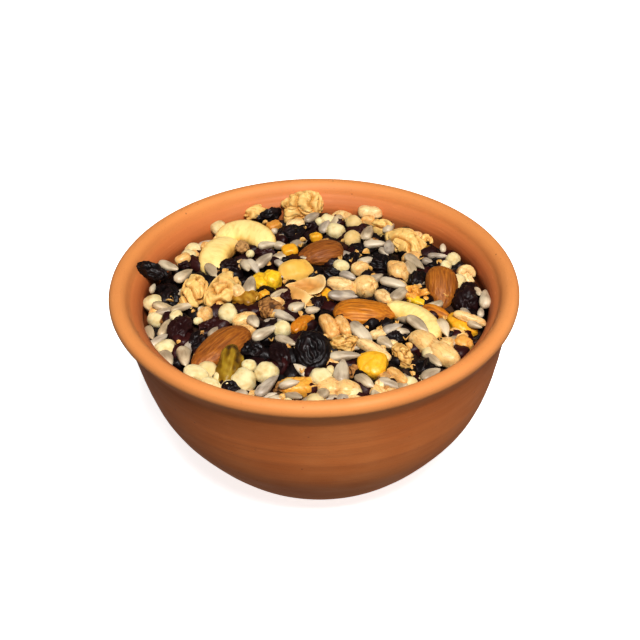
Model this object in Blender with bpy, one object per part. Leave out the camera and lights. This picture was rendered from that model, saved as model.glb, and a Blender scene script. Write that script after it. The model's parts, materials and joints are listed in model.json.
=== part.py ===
"""A turned terracotta bowl filled with granola: nuts, seeds, dried fruit and puffed cereal.

Units are metres, +Z is up. The origin is at the centre of the foot, on the table.

The bowl is one turned solid. The granola is one heap: a turned core that fills the bowl,
with the small pieces that show fused onto it. The larger pieces, such as almonds and
raisins, are solids of their own that rest on the core. Where a piece lies is read from a
photograph of the bowl, and `Photo.spot` turns such a reading into a place on the heap.
"""

import math
import random

import bmesh
import bpy
from mathutils import Matrix, Vector
from mathutils.bvhtree import BVHTree

MM = 0.001
UP = Vector((0.0, 0.0, 1.0))
GAP = 0.35 * MM  # clear space between touching pieces

# Driving sizes of the bowl
RIM_RADIUS = 70.0 * MM
BOWL_HEIGHT = 73.3 * MM
LIP_ROUND = 3.1 * MM  # radius of the rolled lip
LIP_UNDER = -50  # where the lip's round starts outside, in degrees
LIP_INNER = 150  # and where it runs into the inner wall
WALL = 5.6 * MM
FLOOR = 6.0 * MM
FLOOR_RADIUS = 25.0 * MM
FOOT_RADIUS = 23.0 * MM
FOOT_ROUND = 1.2 * MM
FOOT_ASIDE = 1.7 * MM  # the thrown bowl leans a little: its foot is this far right of the rim's middle
BOWL_SIDES = 52
FLAT = math.cos(math.pi / BOWL_SIDES)  # the middle of a side is this share of a corner's radius

# The belly's outline, as shares of the rim's radius at shares of the height
BELLY = ((0.490, 0.055), (0.610, 0.145), (0.730, 0.280), (0.825, 0.420),
         (0.878, 0.560), (0.912, 0.700), (0.936, 0.820))
NECK = (0.942, 0.865)  # the narrow place under the lip
THROAT = (0.856, 0.895)  # where the inner wall starts to flare towards the lip

# Driving sizes of the granola
FILL_AT_WALL = 61.5 * MM  # height of the bare core where it meets the wall at the sides
FILL_CROWN = 2.0 * MM  # how much higher its middle is
FILL_TILT = 1.0 * MM  # how much higher it is at the back, and lower at the front
CORE_SIDES = 36
CORE_GAP = 0.45 * MM  # clear space between the core and the bowl
CORE_CORNER = 4.0 * MM  # the core's side ends this far below its crown's edge
CROWN_RINGS = (1.0, 0.72, 0.36, 0.0)  # the rings of the crown, as shares of its radius
LARGE_SINK = 0.32  # share of a large piece's thickness that would lie in the core
TRIM_GAP = 0.5 * MM  # the large pieces end this far above the core
SMALL_SINK = 0.24
SMALL_CLEARANCE = 0.45 * MM  # between a fused piece and the large ones
LOWERED = (0.0, 0.12, 0.24, 0.36)  # how much deeper a small piece may lie, to fit under the large ones
CLIMB = 0.30  # how far a small piece may ride up at the wall, as a share of its thickness
EXTRA_PIECES = 74  # small pieces spread over what the readings leave bare
EXTRA_SPACING = 5.4 * MM
EXTRA_TRIES = 6000
EXTRA_MARGIN = 2.5 * MM  # from the wall to the middle of such a piece
CRESCENT_BEND = 0.62  # radius of a bent piece, as a share of its length


class Photo:
    """The photograph's view of the bowl: 640 by 640 pixels, from in front and above."""

    MIDDLE = 320.0
    FOCAL = 1376.0  # in pixels
    ELEVATION = math.radians(35.7)
    ROLL = math.radians(-0.85)
    DISTANCE = 480.0 * MM
    TARGET = Vector((1.9 * MM, 0.0, 55.7 * MM))

    @classmethod
    def spot(cls, x, y, height):
        """The point at a given height that the photo shows at pixel x, y."""
        forward = Vector((0.0, math.cos(cls.ELEVATION), -math.sin(cls.ELEVATION)))
        level = Vector((1.0, 0.0, 0.0))
        upright = level.cross(forward)
        right = level * math.cos(cls.ROLL) + upright * math.sin(cls.ROLL)
        up = upright * math.cos(cls.ROLL) - level * math.sin(cls.ROLL)
        eye = cls.TARGET - forward * cls.DISTANCE
        ray = forward + (right * (x - cls.MIDDLE) - up * (y - cls.MIDDLE)) / cls.FOCAL
        return eye + ray * ((height - eye.z) / ray.z)

    @classmethod
    def heading(cls, slant):
        """The direction on the level, in radians, of a slant that the photo shows in degrees."""
        slant = math.radians(slant)
        return math.atan2(math.sin(slant) / math.sin(cls.ELEVATION), math.cos(slant))


# Large pieces: name, kind, photo x and y, slant in the photo in degrees, then length, width
# and thickness in mm, how far it is raised in mm, and its pitch and bank in degrees
LARGE = (
    ("almond_front", "almond", 366, 313, -2, 22.5, 12.5, 8.0, 0.2, 0, 0),
    ("almond_back", "almond", 319, 254, 12, 18.5, 12.5, 8.0, 0.1, 3, 0),
    ("almond_right", "almond", 442, 288, -92, 17.5, 11.5, 8.0, 1.0, -22, 0),
    ("almond_left", "almond", 222, 345, 34, 24.5, 12.0, 8.0, 0.4, 0, 0),
    ("almond_sliver", "almond", 441, 312, -18, 9.5, 5.0, 4.4, 0.2, 0, 0),
    ("walnut_back", "walnut", 306, 206, 4, 15.5, 9.0, 14.0, 2.2, 0, -24),
    ("walnut_left", "walnut", 191, 290, 75, 13.5, 8.6, 9.0, 0.7, 0, 0),
    ("walnut_middle", "walnut", 223, 288, 70, 14.5, 10.0, 9.0, 0.2, 0, 0),
    ("walnut_right", "walnut", 407, 242, -32, 16.5, 11.0, 9.0, 0.6, 0, 0),
    ("walnut_far", "walnut", 383, 228, -20, 9.5, 7.5, 7.0, 0.3, 0, 0),
    ("walnut_crumb", "walnut", 403, 356, -60, 10.0, 7.4, 7.0, 0.3, 0, 0),
    ("walnut_small", "walnut", 417, 296, -15, 8.8, 6.0, 5.8, 0.7, 0, 0),
    ("banana_back", "chip", 247, 234, -10, 20.0, 12.0, 7.0, 1.6, 0, 24),
    ("banana_left", "chip", 215, 255, 55, 16.0, 9.5, 6.0, 0.8, 0, 0),
    ("banana_right", "crescent", 424, 319, -36, 20.0, 7.0, 6.0, 0.8, 0, 0),
    ("apple_curl", "crescent", 309, 289, -36, 15.0, 7.0, 6.0, 0.6, 0, 0),
    ("dried_chip", "chip", 295, 269, 8, 11.0, 7.0, 6.0, 1.0, 0, 0),
    ("fruit_yellow", "chunk", 266, 282, -12, 10.5, 8.6, 7.4, 0.3, 0, 0),
    ("fruit_round", "chunk", 372, 366, -8, 9.5, 9.0, 7.4, 0.3, 0, 0),
    ("fruit_side", "chunk", 460, 326, -35, 11.5, 6.5, 6.4, 0.3, 0, 0),
    ("fruit_pale", "chunk", 463, 345, -35, 6.5, 6.2, 6.2, 0.0, 0, 0),
    ("fruit_front", "chunk", 297, 389, 4, 12.0, 7.5, 7.2, 0.0, 0, 0),
    ("apricot_strip", "chunk", 302, 326, 38, 10.5, 4.8, 6.0, 0.0, 0, 0),
    ("golden_raisin", "raisin", 246, 301, -20, 9.5, 8.6, 7.4, 0.0, 0, 0),
    ("olive_raisin", "raisin", 231, 368, 76, 11.5, 7.6, 7.0, 1.0, 14, 0),
    ("raisin_wall", "raisin", 151, 270, -26, 12.5, 6.5, 6.2, 6.2, -16, 0),
    ("raisin_big", "raisin", 168, 295, -72, 12.5, 9.0, 7.2, 0.0, 0, 0),
    ("raisin_left", "raisin", 181, 329, 60, 13.5, 8.5, 7.4, 0.2, 0, 0),
    ("raisin_shade", "raisin", 210, 326, 14, 9.5, 5.0, 5.4, 0.0, 0, 0),
    ("raisin_under", "raisin", 230, 267, 15, 8.5, 6.2, 6.2, 0.2, 0, 0),
    ("raisin_far", "raisin", 294, 233, 24, 12.5, 7.5, 7.4, 0.0, 0, 0),
    ("raisin_strip", "raisin", 268, 216, 18, 9.5, 5.0, 6.4, 1.0, 0, 0),
    ("raisin_flat", "raisin", 361, 251, -8, 9.5, 6.5, 5.8, 0.0, 0, 0),
    ("raisin_mid", "raisin", 380, 264, -20, 8.8, 8.5, 6.4, 0.0, 0, 0),
    ("raisin_right", "raisin", 418, 281, 50, 9.5, 7.0, 6.8, 0.0, 0, 0),
    ("raisin_rim", "raisin", 469, 299, 64, 12.5, 8.6, 8.6, 0.4, 0, 0),
    ("raisin_front", "raisin", 253, 351, -20, 8.5, 7.5, 6.8, 0.0, 0, 0),
    ("raisin_deep", "raisin", 280, 357, -62, 13.0, 7.5, 7.2, 0.0, 0, 0),
    ("raisin_edge", "raisin", 425, 369, 30, 9.5, 8.0, 7.6, 0.0, 0, 0),
    ("prune", "raisin", 313, 352, 84, 15.5, 12.0, 9.0, 1.8, 26, 0),
    ("chickpea", "nut", 366, 287, 20, 8.6, 8.4, 7.8, 0.0, 0, 0),
    ("peanut_round", "nut", 398, 272, -60, 9.0, 7.5, 7.4, 0.5, 0, 0),
    ("peanut_double", "peanut", 434, 349, -31, 21.0, 8.0, 7.6, 0.8, 0, 0),
    ("peanut_front", "peanut", 339, 390, -6, 14.0, 8.0, 7.6, 0.0, 0, 0),
)

# Small pieces that are fused onto the heap: photo x and y, and slant in degrees
SEEDS = (
    (168, 266, 25), (184, 275, 40), (175, 309, 12), (188, 305, 20), (150, 333, -60),
    (158, 341, 30), (167, 358, -50), (184, 352, 80), (246, 268, -60), (254, 267, -40),
    (264, 259, 35), (250, 284, 80), (268, 245, 10), (246, 240, 30), (284, 318, -30),
    (267, 333, 25), (286, 342, -22), (254, 323, -50), (262, 386, 50), (266, 397, 20),
    (216, 333, 60), (313, 218, 60), (306, 211, 20), (367, 230, 75), (376, 243, -5),
    (389, 246, -80), (413, 261, -40), (411, 271, -60), (438, 256, 2), (392, 282, -12),
    (401, 295, 35), (376, 278, 30), (348, 275, -25), (366, 260, 35), (343, 295, 5),
    (360, 333, -45), (345, 357, -6), (342, 370, 78), (364, 381, -30), (386, 342, -35),
    (418, 325, -35), (430, 374, 25), (485, 299, 80), (476, 324, -20), (433, 362, -40),
    (392, 328, 15), (281, 294, 20), (296, 305, 40), (318, 262, 70), (273, 270, -30),
)
BALLS = (
    (193, 252), (219, 229), (154, 304), (228, 314), (337, 232), (352, 239), (356, 223),
    (280, 331), (267, 373), (246, 378), (249, 367), (195, 373), (213, 384), (321, 379),
    (453, 259), (446, 265), (166, 349), (342, 267), (157, 320), (466, 270), (359, 267),
    (284, 244),
)
NIBS = (
    (341, 217, 20), (369, 212, -3), (340, 283, -8), (329, 326, -60), (343, 327, -65),
    (374, 349, -20), (400, 376, -38), (244, 321, 15), (204, 316, 60), (318, 206, 70),
    (303, 226, 20), (257, 212, 30), (243, 246, 40), (272, 307, -35), (344, 345, 15),
    (184, 358, 60), (183, 259, 20), (290, 251, 10), (383, 300, 60), (316, 233, 25),
    (473, 317, -18), (328, 296, 20), (362, 357, 10), (275, 382, 20), (385, 376, -30),
    (395, 259, 10), (427, 246, -70), (357, 303, 10), (240, 388, 15), (283, 259, 10),
    (388, 291, 0), (395, 338, 0), (197, 342, 10),
)

# The kinds: sides, rings, roughness, colour and surface roughness
KINDS = {
    "almond": (8, 5, 0.00, (176, 98, 44), 0.55),
    "walnut": (8, 4, 0.17, (226, 184, 110), 0.60),
    "chip": (8, 4, 0.04, (250, 226, 150), 0.55),
    "crescent": (7, 4, 0.04, (244, 214, 140), 0.55),
    "chunk": (7, 3, 0.09, (250, 196, 62), 0.45),
    "raisin": (7, 3, 0.11, (46, 30, 36), 0.50),
    "nut": (7, 3, 0.03, (236, 200, 140), 0.50),
    "peanut": (8, 5, 0.03, (236, 196, 132), 0.50),
    "seed": (5, 2, 0.03, (206, 198, 180), 0.60),
    "ball": (6, 3, 0.03, (250, 240, 180), 0.70),
    "nib": (6, 2, 0.08, (230, 196, 130), 0.60),
}
CLAY = ((205, 118, 66), 0.75)
HEAP = ((222, 198, 150), 0.65)


# ------------------------------------------------------------------ small helpers
def clear_scene():
    for thing in list(bpy.data.objects):
        bpy.data.objects.remove(thing)


def linear(red, green, blue):
    """The linear colour of an sRGB one given in 0 to 255."""
    shares = [channel / 255.0 for channel in (red, green, blue)]
    return [s / 12.92 if s <= 0.04045 else ((s + 0.055) / 1.055) ** 2.4 for s in shares] + [1.0]


def plain_material(name, colour, roughness):
    made = bpy.data.materials.new(name)
    made.use_nodes = True
    shader = made.node_tree.nodes["Principled BSDF"]
    shader.inputs["Base Color"].default_value = linear(*colour)
    shader.inputs["Roughness"].default_value = roughness
    shader.inputs["Metallic"].default_value = 0.0
    made.diffuse_color = linear(*colour)
    return made


def add_object(name, shape, material, crease=40.0):
    """A smoothly shaded object made from a bmesh, which is freed."""
    bmesh.ops.recalc_face_normals(shape, faces=shape.faces)
    mesh = bpy.data.meshes.new(name)
    shape.to_mesh(mesh)
    shape.free()
    mesh.materials.append(material)
    mesh.shade_smooth()
    mesh.set_sharp_from_angle(angle=math.radians(crease))
    made = bpy.data.objects.new(name, mesh)
    bpy.context.scene.collection.objects.link(made)
    return made


def arc(centre, radius, start, end, steps):
    """Points on an arc, from one angle in degrees to another."""
    angles = [math.radians(start + (end - start) * step / steps) for step in range(steps + 1)]
    return [(centre[0] + radius * math.cos(a), centre[1] + radius * math.sin(a)) for a in angles]


def offset(line, distance):
    """The inner points of a 2-D line, moved to its left."""
    moved = []
    for before, here, after in zip(line, line[1:], line[2:]):
        along = (Vector(after) - Vector(before)).normalized()
        moved.append((here[0] - along.y * distance, here[1] + along.x * distance))
    return moved


def turned(outline, sides):
    """A closed solid turned about Z from an outline of radius and height, from axis to axis."""
    shape = bmesh.new()
    rings = []
    for radius, height in outline:
        if radius == 0.0:
            rings.append([shape.verts.new((0.0, 0.0, height))] * sides)
            continue
        turns = [math.tau * side / sides for side in range(sides)]
        rings.append([shape.verts.new((radius * math.cos(a), radius * math.sin(a), height)) for a in turns])
    for lower, upper in zip(rings, rings[1:]):
        for side in range(sides):
            after = (side + 1) % sides
            corners = [lower[side], lower[after], upper[after], upper[side]]
            shape.faces.new(list(dict.fromkeys(corners)))
    return shape


def middle_of(shape):
    return sum((vert.co for vert in shape.verts), Vector()) / len(shape.verts)


# ------------------------------------------------------------------ the bowl
def outer_line():
    """The outside from the foot's edge to the neck."""
    line = [(FOOT_RADIUS, 0.0), (FOOT_RADIUS + FOOT_ROUND, FOOT_ROUND * 0.5)]
    line += [(share * RIM_RADIUS, high * BOWL_HEIGHT) for share, high in BELLY]
    return line + [(NECK[0] * RIM_RADIUS, NECK[1] * BOWL_HEIGHT)]


def lip_line():
    centre = (RIM_RADIUS - LIP_ROUND, BOWL_HEIGHT - LIP_ROUND)
    return arc(centre, LIP_ROUND, LIP_UNDER, LIP_INNER, 8)


def inner_line():
    """The inside from the edge of the floor to the throat, a wall's thickness within the belly."""
    wall = [point for point in offset(outer_line()[1:], WALL) if point[1] > FLOOR + MM]
    return [(FLOOR_RADIUS, FLOOR)] + wall[:-1] + [(THROAT[0] * RIM_RADIUS, THROAT[1] * BOWL_HEIGHT)]


def wall_radius(height):
    """How far the inner wall is from the axis at a height."""
    line = inner_line() + [lip_line()[-1]]
    for low, high in zip(line, line[1:]):
        if low[1] <= height <= high[1]:
            share = (height - low[1]) / (high[1] - low[1])
            return low[0] + (high[0] - low[0]) * share
    return line[-1][0]


def build_bowl():
    outline = [(0.0, 0.0)] + outer_line() + lip_line() + inner_line()[::-1] + [(0.0, FLOOR)]
    clay = plain_material("terracotta", *CLAY)
    return add_object("bowl", turned(outline, BOWL_SIDES), clay, crease=50.0)


# ------------------------------------------------------------------ the shapes of the pieces
def round_share(t):
    return math.sqrt(1.0 - t * t)


def blunt_share(t):
    return (1.0 - t * t) ** 0.30


def almond_share(t):
    return (1.0 - t * t) ** 0.58 * (1.0 - 0.30 * t) / 1.03


def seed_share(t):
    return (1.0 - t * t) ** 0.60 * (1.0 - 0.22 * t) * 1.08


def peanut_share(t):
    return (1.0 - t * t) ** 0.42 * (0.86 - 0.14 * math.cos(math.tau * t))


def walnut_share(t):
    return (1.0 - t * t) ** 0.36 * (0.92 + 0.08 * math.cos(3.0 * math.pi * t))


SHARES = {
    "almond": almond_share,
    "seed": seed_share,
    "peanut": peanut_share,
    "walnut": walnut_share,
    "chip": blunt_share,
    "crescent": blunt_share,
    "chunk": blunt_share,
    "nib": blunt_share,
}


def lump(size, sides, rings, share, roughness, seed):
    """A closed piece along X: rings of vertices between two poles, each turned half a side.

    `share(t)` is the half-width at t from -1 to 1, where 1 is the piece's full half-width.
    """
    rng = random.Random(seed)
    length, width, thickness = (value * MM / 2.0 for value in size)
    shape = bmesh.new()
    tail = shape.verts.new((-length, 0.0, 0.0))
    loops = []
    for ring in range(1, rings + 1):
        t = -math.cos(math.pi * ring / (rings + 1))
        loop = []
        for side in range(sides):
            turn = math.tau * (side + 0.5 * (ring % 2)) / sides
            swell = share(t) * (1.0 + rng.uniform(-roughness, roughness))
            across = width * swell * math.cos(turn)
            above = thickness * swell * math.sin(turn)
            loop.append(shape.verts.new((t * length, across, above)))
        loops.append(loop)
    tip = shape.verts.new((length, 0.0, 0.0))
    for side in range(sides):
        after = (side + 1) % sides
        shape.faces.new((tail, loops[0][after], loops[0][side]))
        shape.faces.new((tip, loops[-1][side], loops[-1][after]))
    for ring, (lower, upper) in enumerate(zip(loops, loops[1:]), start=1):
        for side in range(sides):
            after = (side + 1) % sides
            a, b, c, d = lower[side], lower[after], upper[after], upper[side]
            triangles = ((a, b, c), (a, c, d)) if ring % 2 else ((a, b, d), (b, c, d))
            for corners in triangles:
                shape.faces.new(corners)
    return shape


def bend(shape, radius):
    """Bends a piece that lies along X round an upright axis at this distance."""
    for vert in shape.verts:
        turn = vert.co.x / radius
        reach = radius + vert.co.y
        vert.co.x = reach * math.sin(turn)
        vert.co.y = reach * math.cos(turn) - radius


def make_piece(kind, size, seed):
    """The unplaced shape of a piece, with its middle at the origin."""
    sides, rings, roughness, _, _ = KINDS[kind]
    shape = lump(size, sides, rings, SHARES.get(kind, round_share), roughness, seed)
    if kind == "crescent":
        bend(shape, size[0] * MM * CRESCENT_BEND)
    return shape


# ------------------------------------------------------------------ how the pieces lie
def core_height(x, y):
    """Height of the bare core: a low crown that is tilted up towards the back."""
    edge = wall_radius(FILL_AT_WALL)
    return FILL_AT_WALL + FILL_CROWN * (1.0 - (x * x + y * y) / edge ** 2) + FILL_TILT * y / edge


def core_normal(place):
    """The core's upright direction at a place."""
    edge = wall_radius(FILL_AT_WALL)
    slope = 2.0 * FILL_CROWN / edge ** 2
    return Vector((place.x * slope, place.y * slope - FILL_TILT / edge, 1.0)).normalized()


def aside(height):
    """How far the bowl's lean moves a level of it to the right."""
    return FOOT_ASIDE * (1.0 - min(height / (BOWL_HEIGHT - LIP_ROUND), 1.0) ** 3)


def over_core(x, y, rise):
    """The point this far above the core that the photo shows at pixel x, y, before the lean."""
    height = FILL_AT_WALL + rise
    for _ in range(3):
        place = Photo.spot(x, y, height)
        place.x -= aside(height)
        height = core_height(place.x, place.y) + rise
    return place


def lay(shape, place, heading, pitch=0.0, bank=0.0):
    """Turns a piece to its heading, settles it on the core's slope and moves it to its place."""
    settle = UP.rotation_difference(core_normal(place)).to_matrix().to_4x4()
    spin = Matrix.Rotation(heading, 4, "Z")
    lean = Matrix.Rotation(math.radians(-pitch), 4, "Y") @ Matrix.Rotation(math.radians(bank), 4, "X")
    shape.transform(Matrix.Translation(place) @ settle @ spin @ lean)


def pull_off_wall(shape):
    """Moves a piece towards the axis until it is a gap clear of the bowl's flat-sided wall."""
    for _ in range(30):
        points = [vert.co for vert in shape.verts]
        points += [(edge.verts[0].co + edge.verts[1].co) / 2.0 for edge in shape.edges]
        over = max(math.hypot(p.x, p.y) + GAP - wall_radius(p.z) * FLAT for p in points)
        if over <= 0.0:
            return
        middle = middle_of(shape)
        inward = -Vector((middle.x, middle.y, 0.0)).normalized()
        bmesh.ops.translate(shape, vec=inward * (over + 0.02 * MM), verts=shape.verts)


def trim_to_core(shape, place):
    """Cuts off what would lie within the core, a gap above its surface, and closes the cut."""
    normal = core_normal(place)
    foot = Vector((place.x, place.y, core_height(place.x, place.y)))
    parts = shape.verts[:] + shape.edges[:] + shape.faces[:]
    cut = bmesh.ops.bisect_plane(
        shape, geom=parts, dist=1e-6, plane_co=foot + normal * TRIM_GAP, plane_no=normal, clear_inner=True)
    rim = [part for part in cut["geom_cut"] if isinstance(part, bmesh.types.BMEdge)]
    bmesh.ops.contextual_create(shape, geom=rim)
    bmesh.ops.triangulate(shape, faces=[face for face in shape.faces if len(face.verts) > 3])


def build_large_pieces():
    """Makes each large piece and returns the objects."""
    looks = {kind: plain_material(kind, *KINDS[kind][3:]) for kind in KINDS}
    made = []
    for seed, (name, kind, x, y, slant, *size, raised, pitch, bank) in enumerate(LARGE):
        shape = make_piece(kind, size, seed)
        place = over_core(x, y, ((0.5 - LARGE_SINK) * size[2] + raised) * MM)
        lay(shape, place, Photo.heading(slant), pitch, bank)
        pull_off_wall(shape)
        trim_to_core(shape, place)
        made.append(add_object(name, shape, looks[kind]))
    return made


# ------------------------------------------------------------------ the heap
def read_pieces(rng):
    """Yields kind, size in mm, photo x and y and slant of each small piece that was read."""
    for x, y in BALLS:
        across = rng.uniform(6.0, 7.0)
        yield "ball", (across, across, across * 0.95), x, y, rng.uniform(0.0, 180.0)
    for x, y, slant in NIBS:
        yield "nib", (rng.uniform(8.0, 9.8), rng.uniform(5.0, 6.0), rng.uniform(4.8, 5.6)), x, y, slant
    for x, y, slant in SEEDS:
        yield "seed", (rng.uniform(9.2, 10.4), rng.uniform(4.8, 5.6), rng.uniform(3.6, 4.2)), x, y, slant


def extra_size(kind, rng):
    """A size in mm for a piece that is placed by the spread and not by a reading."""
    scale = rng.uniform(0.9, 1.1)
    sizes = {"seed": (9.8, 5.2, 4.0), "nib": (8.6, 5.6, 5.2), "ball": (6.5, 6.5, 6.2)}
    return tuple(scale * value for value in sizes[kind])


def is_clear(shape, obstacles):
    """Whether a piece keeps its distance from solids given as search trees."""
    middle = middle_of(shape)
    grown = shape.copy()
    for vert in grown.verts:
        vert.co += (vert.co - middle).normalized() * SMALL_CLEARANCE
    tree = BVHTree.FromBMesh(grown)
    grown.free()
    for other in obstacles:
        near, normal, _, _ = other.find_nearest(middle)
        if tree.overlap(other) or (middle - near).dot(normal) < 0.0:
            return False
    return True


def climb(place, size):
    """How much a piece must rise, in the photo's line of sight, to lie against the wall and not in it."""
    beyond = math.hypot(place.x, place.y) + 0.5 * size[1] * MM - wall_radius(place.z)
    return min(max(beyond, 0.0), CLIMB * size[2] * MM)


def place_small(kind, size, find_place, heading, obstacles, seed):
    """A small piece clear of the wall and the large pieces, lowered if need be, or None."""
    for lowered in LOWERED:
        rise = (0.5 - SMALL_SINK - lowered) * size[2] * MM
        place = find_place(rise + climb(find_place(rise), size))
        shape = make_piece(kind, size, seed)
        lay(shape, place, heading)
        pull_off_wall(shape)
        if is_clear(shape, obstacles):
            return shape
        shape.free()
    return None


def gather_small_pieces(large):
    """The shapes of all small pieces: those read from the photo, then an even spread between them."""
    rng = random.Random(7)
    trees = []
    for piece in large:
        solid = bmesh.new()
        solid.from_mesh(piece.data)
        trees.append(BVHTree.FromBMesh(solid))
        solid.free()

    shapes = []
    for seed, (kind, size, x, y, slant) in enumerate(read_pieces(rng)):
        shape = place_small(
            kind, size, lambda rise: over_core(x, y, rise), Photo.heading(slant), trees, seed)
        if shape:
            shapes.append(shape)

    middles = [middle_of(shape) for shape in shapes]
    edge = wall_radius(FILL_AT_WALL) - EXTRA_MARGIN
    wanted = len(shapes) + EXTRA_PIECES
    for seed in range(EXTRA_TRIES):
        radius = edge * math.sqrt(rng.random())
        turn = rng.uniform(0.0, math.tau)
        heading = rng.uniform(0.0, math.pi)
        foot = Vector((radius * math.cos(turn), radius * math.sin(turn), 0.0))
        foot.z = core_height(foot.x, foot.y)
        if any((foot - middle).length < EXTRA_SPACING for middle in middles):
            continue
        kind = rng.choice(("seed", "seed", "nib", "ball"))
        shape = place_small(
            kind, extra_size(kind, rng), lambda rise: foot + UP * rise, heading, trees, seed)
        if shape:
            shapes.append(shape)
            middles.append(middle_of(shape))
        if len(shapes) == wanted:
            break
    return shapes


def build_core(look):
    """The bare core: the bowl's inside, a gap within its wall, under a low crown."""
    wall = [(radius * FLAT, height) for radius, height in offset(inner_line(), CORE_GAP)
            if height < FILL_AT_WALL - CORE_CORNER]
    edge = wall_radius(FILL_AT_WALL) * FLAT - CORE_GAP
    crown = [(edge * share, FILL_AT_WALL) for share in CROWN_RINGS]
    outline = [(0.0, FLOOR + CORE_GAP), (FLOOR_RADIUS - CORE_GAP, FLOOR + CORE_GAP)] + wall + crown
    shape = turned(outline, CORE_SIDES)
    for vert in shape.verts:
        if vert.co.z > FILL_AT_WALL - MM:
            vert.co.z = core_height(vert.co.x, vert.co.y)
    return add_object("granola", shape, look)


def shells(shape):
    """The separate shells of a bmesh, as lists of faces."""
    left = set(shape.faces)
    found = []
    while left:
        shell = []
        edge = [left.pop()]
        while edge:
            face = edge.pop()
            shell.append(face)
            near = {other for side in face.edges for other in side.link_faces} & left
            left -= near
            edge += near
        found.append(shell)
    return found


def fuse(core, shapes, look):
    """Joins the small pieces to the core by one Boolean union on a collection, and applies it."""
    pieces = bpy.data.collections.new("small_pieces")
    bpy.context.scene.collection.children.link(pieces)
    for number, shape in enumerate(shapes):
        part = add_object(f"small_{number}", shape, look)
        bpy.context.scene.collection.objects.unlink(part)
        pieces.objects.link(part)
    union = core.modifiers.new("fuse", "BOOLEAN")
    union.operation = "UNION"
    union.operand_type = "COLLECTION"
    union.collection = pieces
    union.solver = "MANIFOLD"
    depsgraph = bpy.context.evaluated_depsgraph_get()
    joined = bpy.data.meshes.new_from_object(core.evaluated_get(depsgraph))
    core.modifiers.clear()
    core.data = joined
    for part in list(pieces.objects):
        bpy.data.objects.remove(part)
    bpy.data.collections.remove(pieces)


def keep_largest_shell(thing):
    """Merges doubled vertices that the union left, and drops all but the largest shell."""
    shape = bmesh.new()
    shape.from_mesh(thing.data)
    bmesh.ops.triangulate(shape, faces=[face for face in shape.faces if len(face.verts) > 3])
    bmesh.ops.remove_doubles(shape, verts=shape.verts, dist=0.005 * MM)
    for scrap in sorted(shells(shape), key=len)[:-1]:
        bmesh.ops.delete(shape, geom=scrap, context="FACES")
    shape.to_mesh(thing.data)
    shape.free()
    thing.data.shade_smooth()
    thing.data.set_sharp_from_angle(angle=math.radians(40.0))


def build_heap(large):
    look = plain_material("granola", *HEAP)
    core = build_core(look)
    fuse(core, gather_small_pieces(large), look)
    keep_largest_shell(core)


def lean_over(thing):
    for vert in thing.data.vertices:
        vert.co.x += aside(vert.co.z)


def main():
    clear_scene()
    build_bowl()
    build_heap(build_large_pieces())
    for thing in bpy.data.objects:
        lean_over(thing)


main()
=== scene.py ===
# %% [markdown]
# # A bowl of granola
#
# This lesson dresses a small turned terracotta bowl that is filled to just under its rim with
# almonds, walnuts, raisins, dried fruit, sunflower kernels and cereal. It uses mesh code,
# Geometry Nodes and procedural materials. The first cell loads plain solids of the same bowl,
# and each finished piece takes the place of one.

# %% Load the plain solids
import functools
import json
import math
import random
from functools import partial

import bmesh
import bpy
import numpy as np
from mathutils import Matrix, Vector, noise

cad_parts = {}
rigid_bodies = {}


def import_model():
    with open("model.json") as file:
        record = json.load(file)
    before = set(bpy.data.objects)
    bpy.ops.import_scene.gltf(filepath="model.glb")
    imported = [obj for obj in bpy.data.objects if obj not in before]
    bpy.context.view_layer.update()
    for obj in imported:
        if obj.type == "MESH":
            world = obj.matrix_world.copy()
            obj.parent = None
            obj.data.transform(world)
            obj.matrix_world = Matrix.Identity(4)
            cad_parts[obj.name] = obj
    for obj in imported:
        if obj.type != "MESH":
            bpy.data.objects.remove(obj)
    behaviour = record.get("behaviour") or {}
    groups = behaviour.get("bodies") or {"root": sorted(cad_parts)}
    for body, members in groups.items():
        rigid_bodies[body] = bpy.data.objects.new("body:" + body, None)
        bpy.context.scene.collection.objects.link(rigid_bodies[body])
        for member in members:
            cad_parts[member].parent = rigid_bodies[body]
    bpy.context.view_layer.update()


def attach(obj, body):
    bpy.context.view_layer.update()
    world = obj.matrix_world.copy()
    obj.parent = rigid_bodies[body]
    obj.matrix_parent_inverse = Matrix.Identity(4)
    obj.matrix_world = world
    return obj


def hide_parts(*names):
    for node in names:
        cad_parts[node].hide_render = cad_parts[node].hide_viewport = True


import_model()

MM = 0.001


def placed(name, data):
    """A new object in the scene."""
    made = bpy.data.objects.new(name, data)
    bpy.context.scene.collection.objects.link(made)
    return made


# %% [markdown]
# ## The camera
#
# The bowl is seen from in front, 36 degrees above the level. The camera comes first, because it
# also works the other way round: `seen_at` gives the point at a known height that shows at a
# pixel of a 640 by 640 picture, so the pieces can be laid out on the level where they lie. All
# modelling here is in millimetres.

# %% The camera, and the point that it sees at a pixel
PICTURE_SIDE = 640
FOCAL = 1376.0  # in pixels
ELEVATION = math.radians(35.7)
ROLL = math.radians(-0.85)
DISTANCE = 480.0
TARGET = Vector((1.9, 0.0, 55.7))

forward = Vector((0.0, math.cos(ELEVATION), -math.sin(ELEVATION)))
level = Vector((1.0, 0.0, 0.0))
upright = level.cross(forward)
right = level * math.cos(ROLL) + upright * math.sin(ROLL)
up = upright * math.cos(ROLL) - level * math.sin(ROLL)
eye = TARGET - forward * DISTANCE

camera = placed("camera", bpy.data.cameras.new("camera"))
camera.data.sensor_width = 36.0
camera.data.lens = FOCAL / PICTURE_SIDE * camera.data.sensor_width
camera.matrix_world = Matrix.Translation(eye * MM) @ Matrix((right, up, -forward)).transposed().to_4x4()
bpy.context.scene.camera = camera


def seen_at(x, y, height):
    """The point at a height in mm that shows at pixel x, y."""
    ray = forward + (right * (x - PICTURE_SIDE / 2) - up * (y - PICTURE_SIDE / 2)) / FOCAL
    return eye + ray * ((height - eye.z) / ray.z)


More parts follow.
